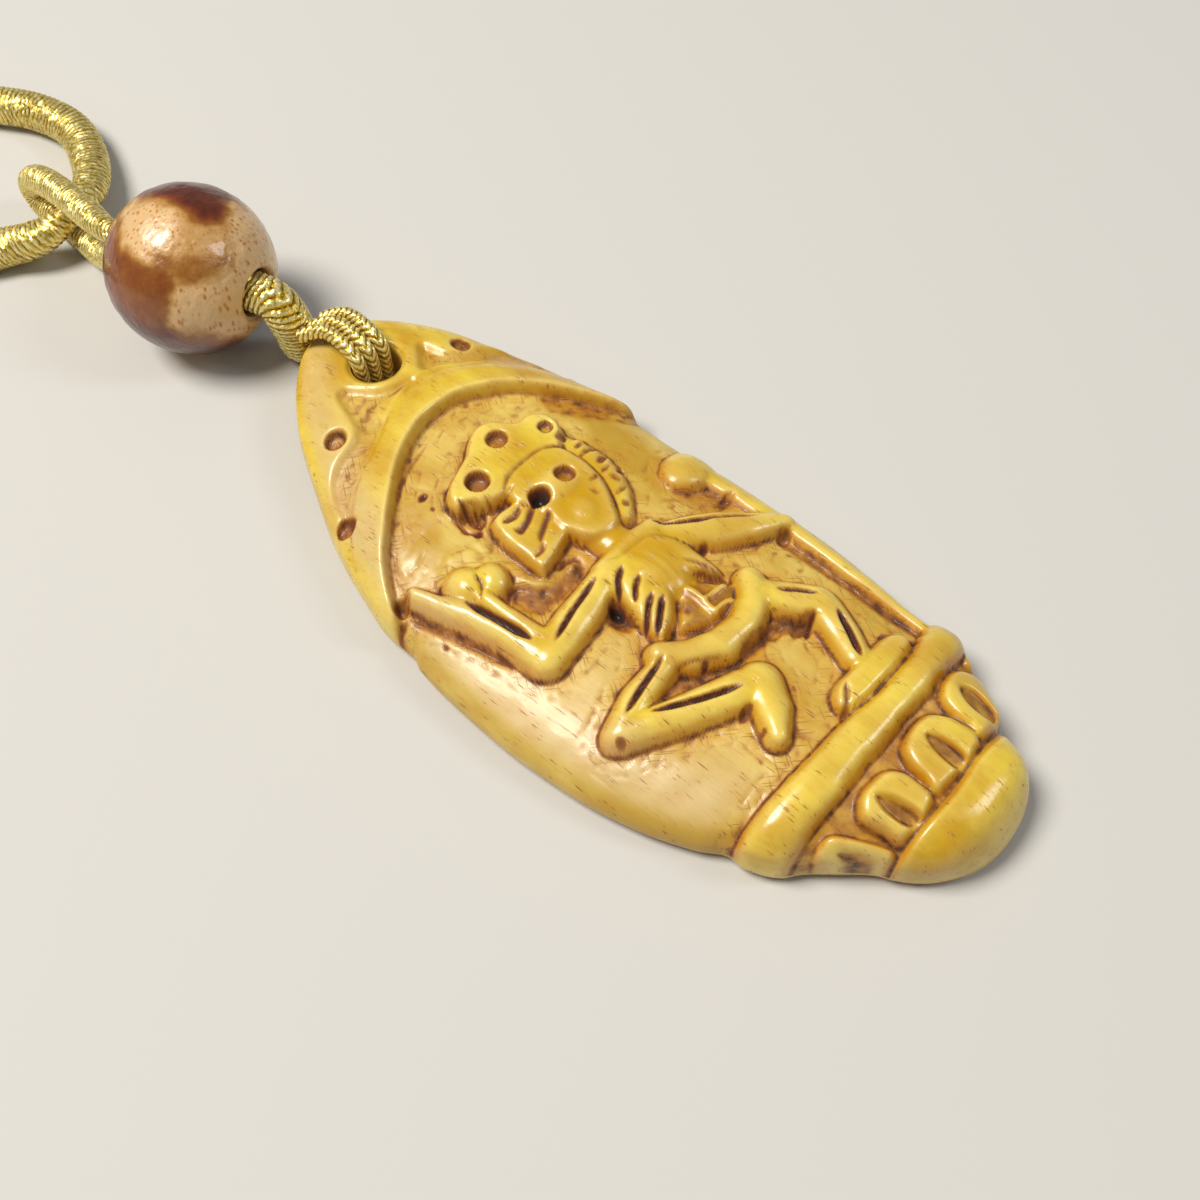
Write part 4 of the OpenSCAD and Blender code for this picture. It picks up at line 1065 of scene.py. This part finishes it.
right_of, up_of = seen @ bead_right, seen @ np.cross(towards, bead_right)
clouds_and_rim_shade = np.maximum.reduce([strength * ease(start, end, inside(right_of, up_of, smooth(cloud_line)))
                            for cloud_line, strength, start, end in cloud_table])
facing = direction @ towards
# Brown deepens towards the bead's rim as the camera sees it: painted shade
clouds_and_rim_shade = clouds_and_rim_shade * (1 + 0.35 * ease(0.6, 0.2, facing))
far_side = np.array([noise.noise(Vector(p) * 0.2 + Vector((3, 3, 3))) for p in local])
brown = np.where(facing > 0.02, clouds_and_rim_shade, ease(-0.15, 0.3, far_side))
store(bead, "brown", np.clip(brown, 0, 1))
print("clouds cover %.0f %% of the bead" % (100 * (brown > 0.4).mean()))

# %% [markdown]
# Glazed clay. The body is cream; iron in the glaze ran into brown clouds with soft edges and left fine
# rusty specks, 0.1 to 0.3 mm wide. Glass lies over both, so the reflections are sharp and white.

# %% The bead's glaze
glaze, tree, shader = new_material("speckled_glazed_clay", {
    "Roughness": 0.34, "IOR": 1.52, "Coat Weight": 0.45, "Coat Roughness": 0.1})
place = add_node(tree, "ShaderNodeTexCoord").outputs["Object"]
cloudy = add_node(tree, "ShaderNodeAttribute", attribute_name="brown").outputs["Fac"]
soft = add_node(tree, "ShaderNodeMapping", {"Vector": place, "Scale": per_mm(1.5, 1.5, 1.5)})
drift = add_node(tree, "ShaderNodeTexNoise", {"Vector": soft, "Scale": 1.0, "Detail": 6.0,
                                              "Roughness": 0.65})
shifted = add_node(tree, "ShaderNodeMapRange", {"Value": drift, "From Min": 0.25, "From Max": 0.75,
                                                "To Min": -0.13, "To Max": 0.13})
run = add_node(tree, "ShaderNodeMath", {0: cloudy, 1: shifted}, operation="ADD", use_clamp=True)
body = add_node(tree, "ShaderNodeValToRGB", {"Fac": run}, [
    (0.06, "#d2ad78"), (0.26, "#b58848"), (0.5, "#8a540c"), (0.8, "#702c02"), (1.0, "#4e1a00")])
speck_scale = add_node(tree, "ShaderNodeMapping", {"Vector": place, "Scale": per_mm(0.42, 0.36, 1.0)})
specks = add_node(tree, "ShaderNodeTexVoronoi", {"Vector": speck_scale, "Scale": 1.0})
speck = add_node(tree, "ShaderNodeValToRGB", {"Fac": specks}, [(0.17, 0.9), (0.42, 0.0)])
where = add_node(tree, "ShaderNodeMapRange", {"Value": drift, "From Min": 0.35, "From Max": 0.5})
bare = add_node(tree, "ShaderNodeMapRange", {"Value": run, "From Min": 0.5, "From Max": 0.1})
where = add_node(tree, "ShaderNodeMath", {0: where, 1: bare}, operation="MULTIPLY")
speckled = add_node(tree, "ShaderNodeMath", {0: speck, 1: where}, operation="MULTIPLY")
tone = add_node(tree, "ShaderNodeMix", {"Factor": speckled, "A": body, "B": "#ac6118"}, data_type="RGBA")
tree.links.new(tone.outputs[2], shader.inputs["Base Color"])
wrinkle_scale = add_node(tree, "ShaderNodeMapping", {"Vector": place, "Scale": per_mm(0.4, 0.4, 0.4)})
wrinkle = add_node(tree, "ShaderNodeTexNoise", {"Vector": wrinkle_scale, "Scale": 1.0, "Detail": 2.0})
skin = add_node(tree, "ShaderNodeBump", {"Height": wrinkle, "Strength": 1.0, "Distance": 0.06 * MM})
tree.links.new(skin.outputs[0], shader.inputs["Normal"])
bead.data.materials.append(glaze)
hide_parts("bead")
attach(bead, "root")
print("the glaze: %d nodes" % len(tree.nodes))

# %% [markdown]
# Six cords are left: the neck cord, its bail loop, the knotted cord and the three hanger strands. All
# of them are a thread of gold yarn wound or plaited over a core along a path. One Geometry Nodes tree
# makes them all: it sweeps a ring along the path and lifts the surface in ridges, one for each turn of
# the thread. A bump map alone would leave the outline smooth, and the outline of a cord is ragged.
# The plain cords in the CAD stay where they are; the same route points are repeated here.

# %% The paths
def follow(route, per=12):
    """The smooth curve through rows of x, y, z and share, aimed at each row along its neighbours."""
    rows = np.array(route, float)
    heading = np.gradient(rows[:, :3], axis=0)
    heading /= np.linalg.norm(heading, axis=1)[:, None]
    line = []
    for a, b, go, come in zip(rows, rows[1:], heading, heading[1:]):
        reach = np.linalg.norm(b[:3] - a[:3])
        for t in np.arange(per) / per:
            line.append([*between(t, a[:3], b[:3], reach * go, reach * come), a[3] + t * (b[3] - a[3])])
    return np.array(line + [list(rows[-1])])


def length_of(line):
    """Length along a line of points, in millimetres."""
    return np.linalg.norm(np.diff(line[:, :3], axis=0), axis=1).sum()


# x, y, z, share of the cord's thickness
neck_route = [
    (-149.6, 253.1, 2.6, 1), (-144, 257.4, 2.2, 1), (-130, 263, 1.8, 1), (-102, 267, 1.8, 1),
    (-71, 257, 1.8, 1), (-48, 236, 1.8, 1), (-32, 207, 1.8, 1), (-20, 175, 1.8, 1), (-11.5, 140, 1.8, 1),
    (-6, 104, 1.8, 1), (-4, 91, 1.8, 1), (-2, 84, 1.8, 1), (0.6, 79.5, 1.8, 1), (2.6, 75.5, 1.8, 1),
    (3.2, 71, 1.8, 1), (1.6, 66.5, 1.9, 1), (-1.2, 62.4, 2.8, 0.88), (-4.8, 60, 3.72, 0.58),
    (-8, 60.7, 2.8, 0.88), (-10.8, 63.2, 1.9, 1), (-17, 66.6, 1.8, 1), (-36, 76, 1.8, 1),
    (-70, 90, 1.8, 1), (-104, 103, 1.8, 1), (-135, 119, 1.8, 1), (-161, 139, 1.8, 1), (-178, 166, 1.8, 1),
    (-182, 197, 1.8, 1), (-175, 225, 1.8, 1), (-166.5, 238.2, 2.2, 1), (-160.8, 243.7, 2.6, 1)]
bail_route = [
    (-5.3, 48, 7.75, 0.62), (-5.8, 50.2, 7.75, 0.64), (-5.9, 52.2, 7.6, 0.85), (-5.6, 54.6, 7.2, 1),
    (-5.2, 57.4, 6.6, 1), (-4.9, 60, 6.2, 1), (-4.7, 63, 5.5, 1), (-4.6, 65.2, 4.3, 1),
    (-4.5, 66.1, 2.8, 1), (-4.5, 65.2, 1.55, 1), (-4.6, 62.6, 1.3, 1), (-4.8, 59.4, 1.3, 1),
    (-5.1, 56, 1.6, 1), (-5.5, 53.6, 3.2, 0.95), (-5.8, 51.8, 5, 0.8), (-5.8, 50.2, 6, 0.64),
    (-5.3, 48, 6.05, 0.62)]
knot_route = [
    (-4.1, 44.5, 6.9, 0.95), (-3, 40.6, 6.9, 0.95), (-2, 37.1, 6.9, 0.95), (-1.7, 36, 6.6, 0.95),
    (-1.5, 35.5, 5.6, 1), (-1.2, 35.4, 4.2, 1), (-1, 35.3, 2.6, 1), (-0.9, 35.2, 1.3, 0.9),
    (-0.9, 35.1, 0.5, 0.6)]
# Share of the way across, y, z
strand_route = [
    (0, 33.2, 4.8), (0.5, 32.4, 5.4), (0.9, 31.2, 5.95), (0.85, 29.8, 6.25), (0.7, 28.4, 6.3),
    (0.64, 27.4, 5.8), (0.64, 27.05, 4.6), (0.64, 27.05, 1.9), (0.66, 27.5, 1), (0.8, 28.6, 0.72),
    (0.9, 30, 0.7), (0.7, 32, 0.7), (0.1, 33.3, 0.75)]
STRAND_PITCH, FIRST_AT, SLANT_ACROSS = 1.25, -0.7, 1.1
neck_line = follow(neck_route, 24)
print("neck cord: %.0f mm" % length_of(neck_line))

# %% [markdown]
# The tree takes a plain line of points, each with its share of the thickness. The line is cut into short
# steps and a ring is swept along it. Two numbers say how a thread runs: how many turns it makes on the
# way, and how many ridges it climbs from the underside to the top. Both sides climb alike, so the ridges
# meet in a V along the top: a small climb looks wound and a large one looks plaited.

# %% The tree's inputs and its plain tube
tree = bpy.data.node_groups.new("wound_thread", "GeometryNodeTree")
given = {}
for name, kind, standard in (
        ("Geometry", "Geometry", None), ("Width", "Float", 3 * MM), ("Sides", "Int", 16),
        ("Ring Step", "Float", 0.12 * MM), ("Turns", "Float", 10.0), ("Slant", "Float", 1.0),
        ("Ridge", "Float", 0.1 * MM), ("Strands", "Float", 0.0), ("Strand Ridge", "Float", 0.0),
        ("Unevenness", "Float", 1.0), ("Thread", "Material", None)):
    socket = tree.interface.new_socket(name, in_out="INPUT", socket_type="NodeSocket" + kind)
    if standard is not None:
        socket.default_value = standard
    given[name] = socket.identifier
tree.interface.new_socket("Geometry", in_out="OUTPUT", socket_type="NodeSocketGeometry")
sizes_in = add_node(tree, "NodeGroupInput").outputs

path = add_node(tree, "GeometryNodeMeshToCurve", {"Mesh": sizes_in["Geometry"]})
path = add_node(tree, "GeometryNodeResampleCurve", {"Curve": path}, mode="LENGTH")
tree.links.new(sizes_in["Ring Step"], path.inputs["Length"])
way = add_node(tree, "GeometryNodeSplineParameter").outputs["Factor"]
path = add_node(tree, "GeometryNodeStoreNamedAttribute", {"Geometry": path, "Name": "along", "Value": way})
ring = add_node(tree, "GeometryNodeCurvePrimitiveCircle", {"Resolution": sizes_in["Sides"], "Radius": 0.5})
ring = add_node(tree, "GeometryNodeStoreNamedAttribute", {"Geometry": ring, "Name": "around", "Value": way})
share = add_node(tree, "GeometryNodeInputNamedAttribute", {"Name": "share"})
width = add_node(tree, "ShaderNodeMath", {0: share, 1: sizes_in["Width"]}, operation="MULTIPLY")
tube = add_node(tree, "GeometryNodeCurveToMesh", {"Curve": path, "Profile Curve": ring, "Scale": width,
                                                  "Fill Caps": True})
print("inputs:", ", ".join(given))

# %% The thread's ridges
along = add_node(tree, "GeometryNodeInputNamedAttribute", {"Name": "along"})
around = add_node(tree, "GeometryNodeInputNamedAttribute", {"Name": "around"})
# Folded, the way round runs up one side of the cord and down the other, so both sides climb alike
doubled = add_node(tree, "ShaderNodeMath", {0: around, 1: 2.0, 2: 0.5}, operation="MULTIPLY_ADD")
folded = add_node(tree, "ShaderNodeMath", {0: doubled, 1: 1.0}, operation="PINGPONG")
climb = add_node(tree, "ShaderNodeMath", {0: folded, 1: sizes_in["Slant"]}, operation="MULTIPLY")
# A wrap wanders a little over each millimetre of the cord
loose = add_node(tree, "ShaderNodeTexNoise", {"Scale": 1 / (1.1 * MM), "Detail": 2.0})
loose = add_node(tree, "ShaderNodeMath", {0: loose, 1: sizes_in["Unevenness"], 2: climb},
                 operation="MULTIPLY_ADD")
# Which wrap a place belongs to, how far it is from the middle of that, and the height of its ridge
turn = add_node(tree, "ShaderNodeMath", {0: along, 1: sizes_in["Turns"], 2: loose},
                operation="MULTIPLY_ADD")
part = add_node(tree, "ShaderNodeMath", {0: turn, 1: 1.0, 2: 0.0}, operation="WRAP")
across = add_node(tree, "ShaderNodeMath", {0: part, 1: 2.0, 2: -1.0}, operation="MULTIPLY_ADD")
across = add_node(tree, "ShaderNodeMath", {0: across}, operation="ABSOLUTE")
squared = add_node(tree, "ShaderNodeMath", {0: across, 1: across}, operation="MULTIPLY")
ridge = add_node(tree, "ShaderNodeMath", {0: 1.0, 1: squared}, operation="SUBTRACT")
ridge = add_node(tree, "ShaderNodeMath", {0: ridge, 1: 0.6}, operation="POWER")

# A wrap that is itself a plait: fine ridges that run outwards from the middle of each wrap
lean = add_node(tree, "ShaderNodeMath", {0: folded, 1: sizes_in["Strands"], 2: across},
                operation="MULTIPLY_ADD")
fine = add_node(tree, "ShaderNodeMath", {0: lean, 1: math.pi}, operation="MULTIPLY")
fine = add_node(tree, "ShaderNodeMath", {0: fine}, operation="SINE")
fine = add_node(tree, "ShaderNodeMath", {0: fine}, operation="ABSOLUTE")

# Ridges rise and grooves sink about a middle level, so the cord keeps its width
MIDDLE = 0.62
lift = 0.0
for height, size in ((ridge, "Ridge"), (fine, "Strand Ridge")):
    about = add_node(tree, "ShaderNodeMath", {0: height, 1: MIDDLE}, operation="SUBTRACT")
    lift = add_node(tree, "ShaderNodeMath", {0: about, 1: sizes_in[size], 2: lift},
                    operation="MULTIPLY_ADD")
print("nodes so far:", len(tree.nodes))

# %% The finished thread
outwards = add_node(tree, "GeometryNodeInputNormal")
push = add_node(tree, "ShaderNodeVectorMath", {0: outwards, "Scale": lift}, operation="SCALE")
cord = add_node(tree, "GeometryNodeSetPosition", {"Geometry": tube, "Offset": push})
for name, value in (("ridge", ridge), ("fine", fine), ("turn", turn), ("folded", folded)):
    cord = add_node(tree, "GeometryNodeStoreNamedAttribute",
                    {"Geometry": cord, "Name": name, "Value": value})
cord = add_node(tree, "GeometryNodeSetShadeSmooth", {"Geometry": cord})
cord = add_node(tree, "GeometryNodeRealizeInstances", {"Geometry": cord})
cord = add_node(tree, "GeometryNodeSetMaterial", {"Geometry": cord, "Material": sizes_in["Thread"]})
add_node(tree, "NodeGroupOutput", {"Geometry": cord})
wound_thread = tree
print("nodes in the tree:", len(tree.nodes))

# %% [markdown]
# Gold yarn. It is a thin strip of metallised film wound on a polyester thread, so it is a metal to the
# eye: bright short glints where a strand turns to the light, and deep brown-gold between strands. A
# strand is about 0.3 mm wide, and the glints along it break every half millimetre.

# %% The gold yarn
yarn, tree, shader = new_material("metallised_gold_yarn", {"Metallic": 0.75})
place = add_node(tree, "ShaderNodeTexCoord").outputs["Object"]
carried = {}
for name in ("ridge", "fine", "turn", "folded"):
    carried[name] = add_node(tree, "ShaderNodeAttribute", attribute_name=name).outputs["Fac"]
both = add_node(tree, "ShaderNodeMath", {0: carried["fine"], 1: 0.3, 2: 0.7}, operation="MULTIPLY_ADD")
open_to_light = add_node(tree, "ShaderNodeMath", {0: carried["ridge"], 1: both}, operation="MULTIPLY")
glint_scale = add_node(tree, "ShaderNodeMapping", {"Vector": place, "Scale": per_mm(0.3, 0.3, 0.3)})
glint = add_node(tree, "ShaderNodeTexNoise", {"Vector": glint_scale, "Scale": 1.0, "Detail": 2.0})
varied = add_node(tree, "ShaderNodeMapRange", {"Value": glint, "From Min": 0.3, "From Max": 0.7,
                                               "To Min": -0.14, "To Max": 0.14})
lit = add_node(tree, "ShaderNodeMath", {0: open_to_light, 1: varied}, operation="ADD", use_clamp=True)
# The colour runs from painted shade in the grooves to a painted highlight on the crests, with painted
# glints from the noise
gold = add_node(tree, "ShaderNodeValToRGB", {"Fac": lit}, [
    (0.05, "#5a3806"), (0.3, "#a07818"), (0.6, "#cfb03a"), (0.9, "#f8ecac")])
tree.links.new(gold.outputs[0], shader.inputs["Base Color"])
shine = add_node(tree, "ShaderNodeMapRange", {"Value": glint, "From Min": 0.35, "From Max": 0.65,
                                              "To Min": 0.24, "To Max": 0.5})
tree.links.new(shine.outputs[0], shader.inputs["Roughness"])
rough = add_node(tree, "ShaderNodeBump", {"Height": glint, "Strength": 0.6, "Distance": 0.06 * MM})
# Each short length of a strand faces its own way, so it flashes or stays dark as one flake
flake_at = add_node(tree, "ShaderNodeMath", {0: carried["folded"], 1: 9.0}, operation="MULTIPLY")
flake_at = add_node(tree, "ShaderNodeCombineXYZ", {"X": carried["turn"], "Y": flake_at})
flake = add_node(tree, "ShaderNodeTexVoronoi", {"Vector": flake_at, "Scale": 1.0}, voronoi_dimensions="2D")
lean = add_node(tree, "ShaderNodeVectorMath", {0: flake.outputs["Color"], 1: (0.5, 0.5, 0.5)},
                operation="SUBTRACT")
lean = add_node(tree, "ShaderNodeVectorMath", {0: lean, "Scale": 0.5}, operation="SCALE")
facet = add_node(tree, "ShaderNodeVectorMath", {0: rough, 1: lean}, operation="ADD")
facet = add_node(tree, "ShaderNodeVectorMath", {0: facet}, operation="NORMALIZE")
tree.links.new(facet.outputs[0], shader.inputs["Normal"])
print("the yarn: %d nodes" % len(tree.nodes))

# %% [markdown]
# The neck cord is a whole loop of 611 mm that lies plainly on the table and is closed at its sleeve. It
# is a piece like the others, on the CAD's own path.

# %% Winding the cords
def wind(name, line, node, **sizes):
    """Winds one cord along a line of x, y, z, share and lets it stand for its CAD node.

    sizes are the tree's inputs, with _ for a space."""
    mesh = bpy.data.meshes.new(name)
    mesh.from_pydata((line[:, :3] * MM).tolist(), [(k, k + 1) for k in range(len(line) - 1)], [])
    cord = new_object(name, mesh)
    store(cord, "share", line[:, 3])
    winding = cord.modifiers.new("wound thread", "NODES")
    winding.node_group = wound_thread
    winding[given["Thread"]] = yarn
    for label, value in sizes.items():
        winding[given[label.replace("_", " ")]] = value
    bake_modifiers(cord)
    print("%s: %.0f mm, %d faces" % (name, length_of(line), len(cord.data.polygons)))
    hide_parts(node)
    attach(cord, "root")


# One turn of the neck cord's thread is 0.5 mm, which is as fine as its triangles can show
wind("wrapped_neck_cord", neck_line, "neck_cord", Width=3.4 * MM, Sides=18, Ring_Step=0.12 * MM,
     Turns=length_of(neck_line) / 0.5, Slant=3.6, Ridge=0.24 * MM)
wind("wrapped_bail", follow(bail_route), "bail_loop", Width=2.45 * MM, Sides=28, Ring_Step=0.06 * MM,
     Turns=105.0, Slant=2.0, Ridge=0.17 * MM)
wind("plaited_knot", follow(knot_route), "knotted_cord", Width=3.3 * MM, Sides=72, Ring_Step=0.06 * MM,
     Turns=32.0, Slant=3.0, Ridge=0.26 * MM, Strands=9.0, Strand_Ridge=0.1 * MM, Unevenness=0.5)
for n in (1, 2, 3):
    middle_x = FIRST_AT + (n - 2) * STRAND_PITCH
    rows = [(middle_x + SLANT_ACROSS * share, y, z, 1) for share, y, z in strand_route]
    wind("plaited_strand_%d" % n, follow(rows), "hanger_strand_%d" % n, Width=1.1 * MM, Sides=28,
         Ring_Step=0.05 * MM, Turns=30.0, Slant=2.4, Ridge=0.17 * MM, Unevenness=0.3)

# %% [markdown]
# The two ends of the neck cord meet in a short sleeve, wound with the same yarn, at the far end of the
# loop. It is the same tree again on a straight path, thicker and with its ends drawn in.

# %% The closure sleeve
SLEEVE_AT, SLEEVE_TURN, SLEEVE_L, SLEEVE_D = np.array([-155.2, 248.4, 2.6]), math.radians(40), 14, 5.2
way_on = np.array([math.cos(SLEEVE_TURN), math.sin(SLEEVE_TURN), 0])
# Distance in from the end, share of the thickness
drawn_in = [(0, 0.68), (0.2, 0.82), (0.6, 0.95), (1.2, 1)]
drawn_in = [(inset - SLEEVE_L / 2, share) for inset, share in drawn_in]
sleeve_line = [[*(SLEEVE_AT + way_on * at), share] for at, share in
               drawn_in + [(-at, share) for at, share in reversed(drawn_in)]]
wind("wrapped_sleeve", np.array(sleeve_line), "closure_sleeve", Width=(SLEEVE_D - 0.1) * MM, Sides=40,
     Ring_Step=0.08 * MM, Turns=33.0, Slant=1.0, Ridge=0.13 * MM, Unevenness=0.6)
